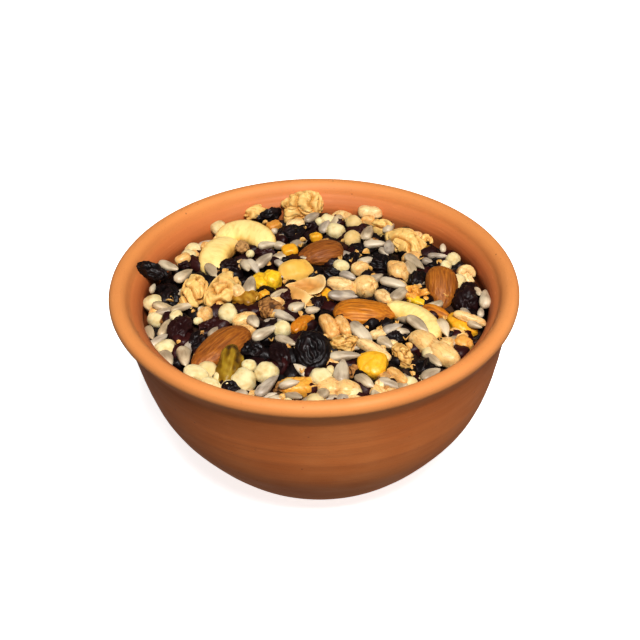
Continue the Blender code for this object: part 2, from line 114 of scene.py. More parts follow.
def heading(slant):
    """The direction on the level, in radians, of a slant that the picture shows in degrees."""
    slant = math.radians(slant)
    return math.atan2(math.sin(slant) / math.sin(ELEVATION), math.cos(slant))


print("camera at", [round(v) for v in eye], "mm, lens", round(camera.data.lens, 1), "mm")

# %% [markdown]
# ## Helpers for node trees
#
# Materials and Geometry Nodes are both trees of nodes, and written out they are long. `Nodes`
# adds, links and sets a node in one call, and does sums with sockets, so each tree below reads
# like a formula.


# %% A short way to write a node tree
class Nodes:
    """A node tree in the making."""

    def __init__(self, tree):
        self.tree = tree

    def add(self, kind, inputs=None, **settings):
        """A node; an input that is given a socket or another node is linked to it."""
        made = self.tree.nodes.new(kind)
        for name, value in settings.items():
            setattr(made, name, value)
        for key, value in (inputs or {}).items():
            if isinstance(value, bpy.types.Node):
                value = value.outputs[0]
            if isinstance(value, bpy.types.NodeSocket):
                self.tree.links.new(value, made.inputs[key])
            else:
                made.inputs[key].default_value = value
        return made

    def math(self, operation, one, other=0.0):
        return self.add("ShaderNodeMath", {0: one, 1: other}, operation=operation).outputs[0]

    def times(self, *factors):
        """The product of sockets and numbers."""
        return functools.reduce(lambda one, other: self.math("MULTIPLY", one, other), factors)

    def xyz(self, vector):
        return self.add("ShaderNodeSeparateXYZ", {0: vector}).outputs

    def band(self, value, low, high, to_low=0.0, to_high=1.0):
        """A value moved from one range to another, and kept within it."""
        return self.add("ShaderNodeMapRange", {
            "Value": value, "From Min": low, "From Max": high,
            "To Min": to_low, "To Max": to_high}).outputs[0]


print("every tree has", [name for name in vars(Nodes) if name[0] != "_"])

# %% [markdown]
# ## Helpers for materials
#
# Each material is a tree round one Principled shader. Sizes are in mm. A pattern sits in the
# object's own space, as on the bowl, or follows a piece: every nut and raisin carries `grain`,
# its shape's coordinates before it was laid down, `relief`, from 0 in a fold to 1 on a crest,
# and `tone`, one number for the whole piece. Colours are laid `over` each other like glazes.


# %% A short way to write a material
def linear(red, green, blue):
    """The linear colour of an sRGB one given in 0 to 255."""
    shares = [channel / 255.0 for channel in (red, green, blue)]
    return [s / 12.92 if s <= 0.04045 else ((s + 0.055) / 1.055) ** 2.4 for s in shares] + [1.0]


class Finish(Nodes):
    """A material in the making: a Principled shader and what feeds it."""

    def __init__(self, name, space="grain", **constants):
        self.material = bpy.data.materials.new(name)
        self.material.use_nodes = True
        super().__init__(self.material.node_tree)
        self.space = space
        self.shader = self.tree.nodes["Principled BSDF"]
        for socket in self.shader.inputs:
            if (key := socket.name.lower().replace(" ", "_")) in constants:
                socket.default_value = constants[key]

    def attribute(self, name, output="Fac"):
        return self.add("ShaderNodeAttribute", attribute_name=name).outputs[output]

    relief = functools.cached_property(lambda self: self.attribute("relief"))
    tone = functools.cached_property(lambda self: self.attribute("tone"))
    grain = functools.cached_property(lambda self: self.attribute("grain", "Vector"))

    @functools.cached_property
    def place(self):
        """Coordinates in mm in the object's own space."""
        where = self.add("ShaderNodeTexCoord").outputs["Object"]
        return self.add("ShaderNodeMapping", {"Vector": where, "Scale": (1000.0,) * 3}).outputs[0]

    def noise(self, size, stretch=(1.0, 1.0, 1.0), detail=3.0, rough=0.55, space=None):
        """Soft noise from 0 to 1 with bumps of a size in mm, drawn out along an axis by a stretch."""
        spot = self.add("ShaderNodeMapping", {
            "Vector": getattr(self, space or self.space),
            "Scale": [1.0 / (size * share) for share in stretch]})
        return self.add("ShaderNodeTexNoise", {
            "Vector": spot, "Scale": 1.0, "Detail": detail, "Roughness": rough}).outputs["Fac"]

    def ramp(self, value, *stops):
        """A colour from stops, each a place from 0 to 1 and an sRGB colour."""
        made = self.add("ShaderNodeValToRGB", {"Fac": value})
        marks = made.color_ramp.elements
        while len(marks) < len(stops):
            marks.new(0.5)
        for mark, (place, colour) in zip(marks, stops):
            mark.position = place
            mark.color = linear(*colour)
        return made.outputs["Color"]

    def blend(self, share, one, other):
        """One colour over another; a colour is a socket or an sRGB triple."""
        one, other = (c if isinstance(c, bpy.types.NodeSocket) else linear(*c) for c in (one, other))
        return self.add("ShaderNodeMix", {0: share, 6: one, 7: other}, data_type="RGBA").outputs[2]

    def colour(self, value):
        """Makes this the colour, which `over` then adds to."""
        self.base = value
        self.tree.links.new(value, self.shader.inputs["Base Color"])

    def over(self, colour, share, value=None, low=0.0, high=1.0):
        """Lays a colour over the rest, by a share or more and more as a value goes from low to high."""
        if value is not None:
            share = self.band(value, low, high, 0.0, share)
        self.colour(self.blend(share, self.base, colour))

    def roughness(self, value, first, last):
        """Roughness that goes from first to last as a noise grows."""
        self.tree.links.new(self.band(value, 0.3, 0.7, first, last), self.shader.inputs["Roughness"])

    def bump(self, height, depth, strength):
        """Relief from a height of 0 to 1 that stands for a depth in mm."""
        made = self.add("ShaderNodeBump", {"Height": height, "Distance": depth * MM, "Strength": strength})
        self.tree.links.new(made.outputs[0], self.shader.inputs["Normal"])


print("linear clay:", [round(v, 3) for v in linear(205, 118, 66)])

# %% [markdown]
# ## Terracotta
#
# Unglazed clay is matte with a soft sheen. Its colour drifts between orange and brown, fine
# lines run round it from the turning, and small dark grits and pits show close up. The lines
# are noise that is drawn out round the bowl and squeezed in height. The inside is painted a
# little paler as painted light, then painted shade, strongest at the back, tones it down again.
# More painted shade darkens the inner wall towards the granola, more at the sides than at the
# back and most on the right. The lip is paler, partly from wear and partly as a painted highlight
# for its sheen, and a painted shadow darkens the clay just below the lip.

# %% Clay
clay = Finish("terracotta", "place", specular_ior_level=0.32)
patches = clay.noise(9.0, (1.6, 1.6, 0.7), detail=4.0)
rings = clay.noise(1.0, (60.0, 60.0, 0.9))
speckle = clay.noise(0.55, detail=2.0)
scratches = clay.noise(0.5, (14.0, 14.0, 0.7), detail=2.0)
pits = clay.add("ShaderNodeTexVoronoi", {"Vector": clay.place, "Scale": 0.16}).outputs["Distance"]
pits = clay.band(pits, 0.02, 0.075, 1.0, 0.0)
x, y, height = clay.xyz(clay.place)
reach = clay.math("SQRT", clay.math("ADD", clay.math("POWER", x, 2.0), clay.math("POWER", y, 2.0)))
within = clay.times(clay.band(reach, 65.0, 62.0), clay.band(height, 50.0, 60.0))
# painted shade: a mask for the inner wall towards the granola, down to about a third at the back
painted_wall_shade = clay.times(within, clay.times(clay.band(height, 71.0, 66.5), clay.band(y, 52.0, 20.0, 0.36, 1.0)))
# partly wear, partly a painted highlight: a mask for the paler lip that also stands for its sheen, weaker on
# the inner wall
worn = clay.times(clay.band(height, 64.5, 70.5), clay.math("SUBTRACT", 1.0, clay.times(within, 0.65)))
# painted shadow: a mask for the outside just below the lip, where the lip casts its shadow
painted_lip_shadow = clay.times(clay.band(height, 65.0, 61.5), clay.band(height, 51.0, 59.0), clay.band(reach, 62.0, 63.5))

drift = clay.noise(38.0)
clay.colour(clay.ramp(drift, (0.30, (200, 114, 56)), (0.52, (208, 124, 64)), (0.72, (216, 136, 76))))
clay.over((190, 104, 48), 0.45, patches, 0.35, 0.75)
# painted light: the whole inside is painted a little paler
clay.over((220, 140, 88), clay.times(within, 0.15))
# painted shade on the inner wall towards the granola, and more on the right side, which the light hardly
# reaches
clay.over((144, 62, 24), clay.times(painted_wall_shade, 0.70))
clay.over((120, 44, 14), clay.times(painted_wall_shade, clay.band(x, 25.0, 58.0, 0.0, 0.45)))
# the paler lip: partly wear, partly a painted highlight for the sheen
clay.over((230, 168, 102), clay.times(worn, 0.45))
# the painted shadow below the lip
clay.over((122, 66, 34), clay.times(painted_lip_shadow, 0.26))
# painted shade over the inside, strongest at the back of the wall
clay.over((182, 110, 64), clay.times(within, clay.band(y, 20.0, 50.0, 0.10, 0.34)))
clay.over((232, 154, 92), 0.11, rings, 0.40, 0.70)
clay.over((232, 160, 104), 0.30, scratches, 0.66, 0.78)
clay.over((148, 76, 34), 0.30, speckle, 0.62, 0.80)
clay.over((120, 62, 34), clay.times(pits, 0.55))
clay.roughness(patches, 0.50, 0.64)
grooves = clay.math("ADD", clay.times(rings, 0.8), clay.times(speckle, 0.22))
clay.bump(clay.math("SUBTRACT", grooves, clay.times(pits, 0.8)), 0.16, 0.55)
print("clay nodes:", len(clay.tree.nodes))

# %% [markdown]
# ## The bowl's outline
#
# A thrown bowl is one outline turned round its axis: foot, belly, a rolled lip, a groove below
# it on the inside, and the well. It could be drawn as a curve by hand. Here smooth lines through
# a few points and one arc make it, because sizes written as numbers are easy to correct.

# %% The outline of the bowl, in mm
RIM_RADIUS = 70.0
BOWL_HEIGHT = 73.3
LIP_ROUND = 2.7
FOOT_RADIUS = 23.0
FOOT_ASIDE = 1.7  # the bowl leans a little: its foot is this far right of the rim's middle
WALL = 5.6
FLOOR = 6.0
WELL_CORNER = 9.0  # over this height the inside follows the outside
BELLY = ((0.490, 0.055), (0.610, 0.145), (0.730, 0.280), (0.825, 0.420),  # shares of radius, height
         (0.878, 0.560), (0.912, 0.700), (0.936, 0.820), (0.942, 0.865))
THROAT = (0.852, 0.874)
GROOVE = ((64.4, 71.5), (63.7, 70.1), (63.2, 69.1), (62.4, 68.4), (61.4, 67.8), (60.6, 66.8), (59.9, 65.5))


def through(points, steps):
    """A smooth line through points (a Catmull-Rom spline)."""
    points = [np.array(p, float) for p in points]
    ends = [2 * points[0] - points[1]] + points + [2 * points[-1] - points[-2]]
    line = []
    for a, b, c, d in zip(ends, ends[1:], ends[2:], ends[3:]):
        for t in np.arange(steps) / steps:
            line.append(0.5 * (2 * b + (c - a) * t + (2 * a - 5 * b + 4 * c - d) * t ** 2
                               + (3 * b - a - 3 * c + d) * t ** 3))
    return line + [points[-1]]


def lip_point(degrees):
    turn = math.radians(degrees)
    middle = (RIM_RADIUS - LIP_ROUND, BOWL_HEIGHT - LIP_ROUND)
    return middle[0] + LIP_ROUND * math.cos(turn), middle[1] + LIP_ROUND * math.sin(turn)


belly = [(share * RIM_RADIUS, high * BOWL_HEIGHT) for share, high in BELLY]
inside = [(r - WALL, h) for r, h in belly if h > WELL_CORNER][:-1]
inside[0] = (inside[0][0] + 1.2, inside[0][1] + 2.4)  # the corner of the well is rounder
throat = (THROAT[0] * RIM_RADIUS, THROAT[1] * BOWL_HEIGHT)

foot = through([(0.0, 0.0), (FOOT_RADIUS - 0.4, 0.0), (FOOT_RADIUS + 0.7, 0.3)], 12)
wall = through([(FOOT_RADIUS + 0.9, 0.7)] + belly + [lip_point(-58)], 9)
lip = [lip_point(degrees) for degrees in range(-50, 121, 10)]
flare = through([lip_point(125), *GROOVE, throat, inside[-1]], 4)
well = through(inside[::-1] + [(27.0, FLOOR + 1.6), (18.0, FLOOR + 0.2), (0.0, FLOOR)], 7)
outline = [tuple(p) for p in foot + wall + lip + flare[:-1] + well]
print(len(outline), "points in the outline, widest", round(max(p[0] for p in outline), 2), "mm")


# %% [markdown]
# ## Helpers for Geometry Nodes
#
# Node trees grow the bowl and the loose filling. `Tree` gives every input of the tree a name and
# a value. The modifier could stay on the object, but its result is kept as a plain mesh, which
# is easier to measure.


# %% A Geometry Nodes tree, and what it grows
class Tree(Nodes):
    """A Geometry Nodes tree with named inputs."""

    KINDS = {float: "NodeSocketFloat", int: "NodeSocketInt"}

    def __init__(self, name, **inputs):
        super().__init__(bpy.data.node_groups.new(name, "GeometryNodeTree"))
        face = self.tree.interface
        for way in ("INPUT", "OUTPUT"):
            face.new_socket("Geometry", in_out=way, socket_type="NodeSocketGeometry")
        self.values = {}
        for label, value in inputs.items():
            kind = self.KINDS.get(type(value)) or "NodeSocket" + type(value).__name__
            socket = face.new_socket(label.replace("_", " "), in_out="INPUT", socket_type=kind)
            self.values[socket.identifier] = value
        self.start = self.tree.nodes.new("NodeGroupInput").outputs
        self.end = self.tree.nodes.new("NodeGroupOutput")

    def finish(self, geometry):
        """Realizes what the tree made, gives it the material and hands it out."""
        real = self.add("GeometryNodeRealizeInstances", {"Geometry": geometry})
        worn = self.add("GeometryNodeSetMaterial", {"Geometry": real, "Material": self.start["Material"]})
        self.tree.links.new(worn.outputs[0], self.end.inputs[0])


def grown(name, mesh, tree):
    """A new object whose plain mesh is what a tree makes of a mesh."""
    carrier = placed(name, mesh)
    modifier = carrier.modifiers.new(tree.tree.name, "NODES")
    modifier.node_group = tree.tree
    for identifier, value in tree.values.items():
        modifier[identifier] = value
    depsgraph = bpy.context.evaluated_depsgraph_get()
    plain = bpy.data.meshes.new_from_object(carrier.evaluated_get(depsgraph))
    carrier.modifiers.remove(modifier)
    carrier.data = plain
    plain.name = carrier.name
    return carrier


def outward(thing):
    """Turns a closed mesh's faces outwards and shades it smooth."""
    shape = bmesh.new()
    shape.from_mesh(thing.data)
    bmesh.ops.recalc_face_normals(shape, faces=shape.faces)
    shape.to_mesh(thing.data)
    shape.free()
    thing.data.shade_smooth()


print("a tree takes", [kind.__name__ for kind in Tree.KINDS], "and blocks of data")

# %% [markdown]
# ## Turning the bowl
#
# A flat grid is laid over "along the outline" and "round the axis", each of its points is moved
# to where it belongs, and the seam and the poles are merged. A Screw modifier would turn it as
# well, but a tree can press the potter's soft rings in the same pass: noise that is drawn out
# round the bowl moves the surface by about a tenth of a millimetre.

# %% Turn the bowl
turning = Tree("turn_an_outline", Steps_Along=280, Steps_Around=230, Ring_Depth=0.14,
               Material=clay.material)
start = turning.start
curve = turning.add("GeometryNodeMeshToCurve", {"Mesh": start["Geometry"]})
around = turning.math("ADD", start["Steps Around"], 1)
grid = turning.add("GeometryNodeMeshGrid", {
    "Size X": 1.0, "Size Y": 1.0, "Vertices X": start["Steps Along"], "Vertices Y": around})
where = turning.add("GeometryNodeInputPosition")
x, y, _ = turning.xyz(where)
along = turning.math("ADD", x, 0.5)
turn = turning.times(turning.math("ADD", y, 0.5), math.tau)
sample = turning.add("GeometryNodeSampleCurve", {"Curves": curve, "Factor": along}, mode="FACTOR")
reach, _, height = turning.xyz(sample.outputs["Position"])
ring = turning.add("ShaderNodeCombineXYZ", {
    "X": turning.times(reach, turning.math("COSINE", turn)),
    "Y": turning.times(reach, turning.math("SINE", turn)), "Z": height})
turned = turning.add("GeometryNodeSetPosition", {"Geometry": grid.outputs["Mesh"], "Position": ring})
merged = turning.add("GeometryNodeMergeByDistance", {"Geometry": turned, "Distance": 0.02 * MM})
drawn = turning.add("ShaderNodeVectorMath", {0: where, 1: (9.0, 9.0, 260.0)}, operation="MULTIPLY")
rings = turning.add("ShaderNodeTexNoise", {"Vector": drawn, "Scale": 1.0, "Detail": 1.0})
press = turning.math("SUBTRACT", rings.outputs["Fac"], 0.85)  # below zero, so the rings only sink in
away = turning.add("ShaderNodeVectorMath", {
    0: turning.add("GeometryNodeInputNormal"),
    "Scale": turning.times(press, start["Ring Depth"], MM * 2.0)}, operation="SCALE")
turning.finish(turning.add("GeometryNodeSetPosition", {"Geometry": merged, "Offset": away}))

path = bpy.data.meshes.new("outline")
path.from_pydata([(r * MM, 0.0, h * MM) for r, h in outline],
                 [(n, n + 1) for n in range(len(outline) - 1)], [])
bowl = grown("terracotta_bowl", path, turning)
outward(bowl)
print("bowl:", len(bowl.data.polygons), "faces, size in mm", [round(v / MM, 2) for v in bowl.dimensions])


# %% [markdown]
# ## The lean
#
# A bowl thrown by hand seldom stands quite true, and the foot of this one lies a little to the
# right of its rim. Turning the whole would tip the rim too. Each height is slid aside instead,
# by less and less towards the lip, which stays level and round.


# %% Let it lean
def aside(height):
    """How far the lean moves a height in mm to the right."""
    return FOOT_ASIDE * (1.0 - np.minimum(height / (BOWL_HEIGHT - LIP_ROUND), 1.0) ** 3)


def points_of(mesh):
    places = np.empty(len(mesh.vertices) * 3)
    mesh.vertices.foreach_get("co", places)
    return places.reshape(-1, 3) / MM


def stands_for(piece, solid):
    """Lets a piece ride on the body, in place of a plain solid."""
    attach(piece, "root")
    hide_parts(solid)


def lean_over(mesh, places):
    """Moves a mesh's points to these places, with the lean, and tells where they are."""
    places[:, 0] += aside(places[:, 2])
    mesh.vertices.foreach_set("co", (places * MM).ravel())
    mesh.update()
    return places


places = points_of(bowl.data)
places[:, 2] = np.clip(places[:, 2], 0.0, BOWL_HEIGHT - 0.06)
places[:, :2] *= (RIM_RADIUS - 0.04) / np.hypot(places[:, 0], places[:, 1]).max()
places = lean_over(bowl.data, places)
stands_for(bowl, "bowl")
print("bowl box in mm:", places.min(axis=0).round(2), places.max(axis=0).round(2))

# %% [markdown]
# ## How pieces are sculpted
#
# Every piece starts as a finely divided ball, its length along X and its thickness along Z. The
# points are numpy arrays, so a shape is a few lines of arithmetic: swell, taper, bend, then push
# folds and crests in with noise. Noise whose sign changes leaves thin lines where it is zero,
# and those lines make good folds and wrinkles.


# %% Tools for sculpting
class Lump:
    """A sculpted piece: points in mm, faces, and the attributes for its material."""

    def __init__(self, detail, size, power=2.0):
        self.ball, self.faces = ball(detail)
        reach = (np.abs(self.ball) ** power).sum(axis=1) ** (1.0 / power)
        self.half = np.array(size) / 2.0
        self.points = self.ball / reach[:, None] * self.half

    def push(self, amount):
        """Moves the surface outwards by an amount in mm."""
        away = self.ball / self.half
        away = away / np.linalg.norm(away, axis=1)[:, None]
        self.points = self.points + away * np.asarray(amount)[:, None]

    def swell(self, amount, size, seed):
        """Makes it uneven by a share, with bumps of a size in mm."""
        self.points *= (1.0 + amount * bumps(self.points, size, seed))[:, None]

    def taper(self, tail, tip):
        """Shapes the ends: 0.5 is round, less is blunt and more is pointed."""
        low = np.clip(1.0 + self.ball[:, 0], 0.001, None)
        high = np.clip(1.0 - self.ball[:, 0], 0.001, None)
        share = low ** tail * high ** tip
        self.points[:, 1:] *= (share / np.sqrt(low * high) / share.max())[:, None]

    def fit(self, relief):
        """Brings the whole back to its length, width and thickness, and notes its relief."""
        low, high = self.points.min(axis=0), self.points.max(axis=0)
        self.points = (self.points - (low + high) / 2.0) * (2.0 * self.half / (high - low))
        self.relief = relief
        return self

    def bend(self, radius, axis):
        """Bends the length round a point at this distance along Y (axis 1) or Z (axis 2)."""
        turn = self.points[:, 0] / radius
        reach = radius + self.points[:, axis]
        self.points[:, 0] = reach * np.sin(turn)
        self.points[:, axis] = reach * np.cos(turn) - radius


@functools.cache
def ball(detail):
    """Directions and triangles of an evenly divided ball: 80 faces at 3, 20480 at 7."""
    shape = bmesh.new()
    bmesh.ops.create_icosphere(shape, subdivisions=detail - 1, radius=1.0)
    shape.verts.index_update()
    directions = np.array([vert.co[:] for vert in shape.verts])
    faces = [[vert.index for vert in face.verts] for face in shape.faces]
    shape.free()
    return directions, faces


def bumps(points, size, seed):
    """Soft noise from about -0.7 to 0.7 that changes over this many mm."""
    shift = Vector((3.1, 7.7, 5.3)) * (1 + seed % 97)
    return np.array([noise.noise(Vector(p) + shift) for p in points / size])


def crests(points, size, seed):
    """Thin raised lines: 1 on a line and down to about -1 between."""
    return np.clip(1.0 - 4.0 * np.abs(bumps(points, size, seed)), -1.0, 1.0)


def folds(points, size, seed, width):
    """Thin sunk lines: 1 in a line and 0 elsewhere."""
    return np.exp(-(bumps(points, size, seed) / width) ** 2)


print("finest ball:", len(ball(7)[1]), "faces")

# %% [markdown]
# ## Almonds and walnuts
#
# An almond is a flat drop with fine lines along its skin. A walnut half is all rounded lobes with
# deep creases between, and some show long folds side by side. They could be sculpted by hand;
# noise gives every piece a form of its own from the same few lines.


# %% Almonds and walnuts
def almond(size, seed, detail=7):
    lump = Lump(detail, size)
    lump.taper(0.44, 0.70)
    lump.swell(0.05, 7.0, seed)
    wavy = lump.points * (0.10, 1.0, 1.0) + 0.3 * bumps(lump.points, 5.0, seed + 4)[:, None]
    lines = 0.65 * crests(wavy, 1.5, seed + 1) + 0.35 * crests(wavy, 0.7, seed + 2)
    lump.push(0.14 * lines * (1.0 - lump.ball[:, 0] ** 4))
    return lump.fit(relief=0.5 + 0.5 * lines)


def walnut(size, seed, detail=7, folded=0.0):
    """Half a walnut: rounded lobes, and with `folded` also long folds side by side, this wide."""
    lump = Lump(detail, size, power=2.2)
    lump.swell(0.30, 7.0, seed)
    wavy = lump.points * (0.75, 1.0, 1.0) + 1.2 * bumps(lump.points, 4.5, seed + 5)[:, None]
    lobes = np.clip(np.abs(bumps(wavy, 5.6, seed + 1)) / 0.22, 0.0, 1.0) ** 0.6
    if folded:
        slanting = (lump.points[:, 0] + 0.5 * lump.points[:, 1]) / folded
        phase = slanting + 1.4 * bumps(lump.points, 8.0, seed + 6)
        lobes = np.minimum(lobes + 0.45, 1.0) * np.abs(np.sin(math.pi * phase)) ** 0.4
    small = np.clip(np.abs(bumps(wavy, 3.4, seed + 2)) / 0.16, 0.0, 1.0) ** 0.7
    lump.push(2.4 * lobes + 0.5 * small - 2.5)
    return lump.fit(relief=0.82 * lobes + 0.18 * small)


print("walnut spans", (np.ptp(walnut((15, 11, 9), 1, 5).points, axis=0)).round(1), "mm")

# %% [markdown]
# ## Peanuts and a chickpea
#
# A roasted peanut without its skin is smooth and blunt. Two that grew in one pod have a waist,
# and half a peanut is flatter on one side. A higher `power` squares the ends of the ball off,
# which is quicker than modelling a rod and keeps the faces even.


# %% Peanuts and a chickpea
def smooth_nut(size, seed, detail=6):
    lump = Lump(detail, size, power=2.25)
    lump.swell(0.12, 6.0, seed)
    seam = folds(lump.points * (0.35, 1.0, 1.0), 5.0, seed + 3, 0.03)
    lump.push(-0.12 * seam)
    return lump.fit(relief=0.85 - 0.3 * seam + 0.25 * bumps(lump.points, 3.0, seed + 8))


def pea(size, seed, detail=6):
    """A chickpea: nearly round, drawn in at a small pucker near its front."""
    lump = smooth_nut(size, seed, detail)
    middle = np.array((0.35, -0.72, 0.60))
    apart = np.arccos(np.clip(lump.ball @ (middle / np.linalg.norm(middle)), -1.0, 1.0))
    spokes = np.cos(5.0 * np.arctan2(lump.ball[:, 0] - 0.35, lump.ball[:, 2] - 0.6))
    dent = np.exp(-(apart / 0.22) ** 2)
    lump.push(0.35 * spokes * np.exp(-(apart / 0.55) ** 2) - 1.1 * dent)
    return lump.fit(relief=lump.relief - 0.6 * dent)


def double_nut(size, seed, detail=6):
    lump = Lump(detail, size, power=2.5)
    waist = np.exp(-((lump.ball[:, 0] + 0.04) / 0.20) ** 2)
    lump.points[:, 1:] *= (1.0 - 0.24 * waist)[:, None]
    lump.swell(0.10, 5.0, seed)
    dents = folds(lump.points * (1.6, 0.8, 0.8), 4.4, seed + 1, 0.05)
    lump.push(-0.16 * dents)
    return lump.fit(relief=0.9 - 0.4 * dents - 0.45 * waist ** 4)


def split_nut(size, seed, detail=5):
    """Half a peanut: a blunt rod, round on one side and flatter on the other."""
    lump = Lump(detail, size, power=2.9)
    lump.points[:, 2] *= np.where(lump.ball[:, 2] < 0.0, 0.6, 1.2)
    lump.swell(0.16, 3.6, seed)
    chips = folds(lump.points * (0.5, 1.0, 1.0), 3.6, seed + 2, 0.05)
    lump.push(-0.18 * chips)
    return lump.fit(relief=0.8 + 0.3 * bumps(lump.points, 2.5, seed + 1) - 0.35 * chips)


print("a split nut has", len(split_nut((8, 5, 4), 1).faces), "faces")

# %% [markdown]
# ## Raisins
#
# As a grape dries, its flesh shrinks and its skin does not, so the skin stands in sharp
# wrinkles. `crests` at two sizes gives those. The big dark one shows its end, with wrinkles that
# run round it, and a golden raisin is plumper, with a few long creases.


# %% Raisins
def raisin(size, seed, detail=6):
    lump = Lump(detail, size, power=2.2)
    lump.swell(0.24, 6.0, seed)
    drawn = lump.points * (0.6, 1.0, 1.0) + 0.5 * bumps(lump.points, 2.5, seed + 7)[:, None]
    wrinkles, small = crests(drawn, 2.4, seed + 1), crests(drawn, 1.2, seed + 2)
    lump.push(0.46 * wrinkles + 0.20 * small)
    return lump.fit(relief=0.5 + 0.34 * wrinkles + 0.16 * small)


def prune(size, seed, detail=7):
    """A large raisin that shows its end: wrinkles run round it, with some upright ones inside."""
    lump = Lump(detail, size, power=2.2)
    lump.swell(0.10, 7.0, seed)
    across = lump.points[:, :2] / lump.half[:2]
    reach = np.hypot(across[:, 0], across[:, 1]) + 0.16 * bumps(lump.points, 3.0, seed + 1)
    rounds = np.cos(reach * 34.0) * np.clip((reach - 0.50) * 5.0, 0.0, 1.0)
    rounds *= 0.6 + bumps(lump.points, 2.6, seed + 4)
    inner = crests(lump.points * (0.40, 1.0, 1.0), 1.5, seed + 2) * np.clip((0.66 - reach) * 5.0, 0.0, 1.0)
    hollow = np.clip(0.66 - reach, 0.0, 1.0) * (lump.ball[:, 2] > 0)
    lump.push(0.26 * rounds + 0.30 * inner - 0.9 * hollow + 0.3 * bumps(lump.points, 1.8, seed + 6))
    return lump.fit(relief=0.5 + 0.3 * rounds + 0.4 * inner)


def grape(size, seed, detail=6):
    """A golden raisin: plump, with long creases and small dents."""
    lump = Lump(detail, size, power=2.2)
    lump.taper(0.42, 0.58)
    lump.swell(0.22, 5.0, seed)
    long = crests(lump.points * (0.16, 1.0, 1.0), 3.2, seed + 1)
    dents = bumps(lump.points * (0.7, 1.0, 1.0), 1.7, seed + 2)
    lump.push(0.20 * long + 0.42 * dents)
    return lump.fit(relief=0.5 + 0.28 * long + 0.45 * dents)


print("a raisin's relief averages", raisin((12, 8, 7), 1, 5).relief.mean().round(2))

# %% [markdown]
# ## Banana and candied fruit
#
# Dried banana comes in thick slices with a soft edge. They are shaped straight and bent last, so
# the fibres follow the bend. Candied fruit is cut in blocks whose corners the sugar rounds off,
# and two of them may stick together.


# %% Banana and candied fruit
def banana(size, seed, detail=6, curve=12.0, droop=None, ridge=0.0):
    """A thick slice, bent in the flat and perhaps over its length, with a soft ridge on top."""
    lump = Lump(detail, size, power=2.8)
    lump.taper(0.46, 0.50)
    lump.swell(0.08, 7.0, seed)
    ribs = bumps(lump.points * (1.0, 0.35, 1.0), 2.2, seed + 1)
    lump.push(0.12 * ribs)
    across = np.abs(lump.points[:, 1] / lump.half[1])
    lump.points[:, 2] += ridge * np.clip(1.0 - across, 0.0, 1.0) * (lump.ball[:, 2] > 0.0)
    # darker towards the edges, with painted shade on the underside, which the light does not reach
    lump.fit(relief=0.95 + 0.3 * ribs - 0.6 * across ** 3 - 0.3 * (lump.ball[:, 2] < 0.1))
    lump.bend(curve, 1)
    if droop:
        lump.bend(droop, 2)
    return lump


def chunk(size, seed, detail=6, power=3.2, rough=0.2, crease=0.3):
    lump = Lump(detail, size, power=power)
    lump.swell(0.20, 5.0, seed)
    grit = bumps(lump.points, 1.5, seed + 1)
    creases = folds(lump.points, 4.2, seed + 2, 0.06)
    lump.push(rough * grit - crease * creases)
    return lump.fit(relief=0.75 + 1.5 * rough * grit - crease * creases)


def twin_chunk(size, seed):
    """Two blocks of candied fruit that stick together."""
    parts = []
    for side in (-1, 1):
        part = chunk((size[0] * 0.64, size[1] * (0.9 - 0.1 * side), size[2] * (0.9 + 0.1 * side)),
                     seed + side, rough=0.25, crease=0.2)
        part.points += (side * size[0] * 0.18, side * 0.6, 0.3 * side)
        parts.append(part)
    return joined(parts)


def joined(lumps):
    """Several lumps as one."""
    whole = Lump.__new__(Lump)
    counts = np.cumsum([0] + [len(lump.points) for lump in lumps])
    whole.faces = [[v + n for v in face] for n, lump in zip(counts, lumps) for face in lump.faces]
    for label in ("points", "relief", "grain", "tone"):
        if hasattr(lumps[0], label):
            setattr(whole, label, np.concatenate([getattr(lump, label) for lump in lumps]))
    return whole


print("two blocks span", np.ptp(twin_chunk((10, 8, 7), 1).points, axis=0).round(1), "mm")

# %% [markdown]
# ## Dried chips
#
# A thin slice of apple curls as it dries, and its colour is paler towards the edge. A flattened
# ball whose rim is lifted makes one, with both its sides and a round edge, where a sheet with a
# Solidify modifier would have a sharp one. Two chips that meet at one end stand open like a shell.


# %% Dried chips
def tipped(pitch, bank):
    """Tips a piece up by a pitch and sideways by a bank, in degrees."""
    return Matrix.Rotation(math.radians(-pitch), 3, "Y") @ Matrix.Rotation(math.radians(bank), 3, "X")


def dish(size, seed, detail=6, cup=2.0, skin=1.1, tail=0.42, tip=0.56):
    """A thin curled chip: a shell that is bent up (or, with a negative cup, down) at its edge."""
    lump = Lump(detail, (size[0], size[1], skin), power=2.2)
    lump.taper(tail, tip)
    lump.points[:, 2] /= np.maximum(np.abs(lump.points[:, 2]).max() / (skin / 2.0), 1.0)
    lump.points[:, :2] *= (1.0 + 0.22 * bumps(lump.points * (1.0, 1.0, 0.0), 4.6, seed + 2))[:, None]
    rim = (lump.points[:, 0] / lump.half[0]) ** 2 + (lump.points[:, 1] / lump.half[1]) ** 2
    wave = 0.7 * bumps(lump.points * (1.0, 1.0, 0.0), 4.0, seed) + 0.3 * bumps(lump.points, 2.0, seed + 4)
    lump.points[:, 2] += cup * rim + wave - 0.5 * cup
    crease = np.exp(-(lump.points[:, 1] / 0.8) ** 2) * (cup > 0.0)
    lump.points[:, 2] -= 0.4 * crease
    lump.relief = 0.3 + 0.7 * rim - 0.25 * crease
    return lump


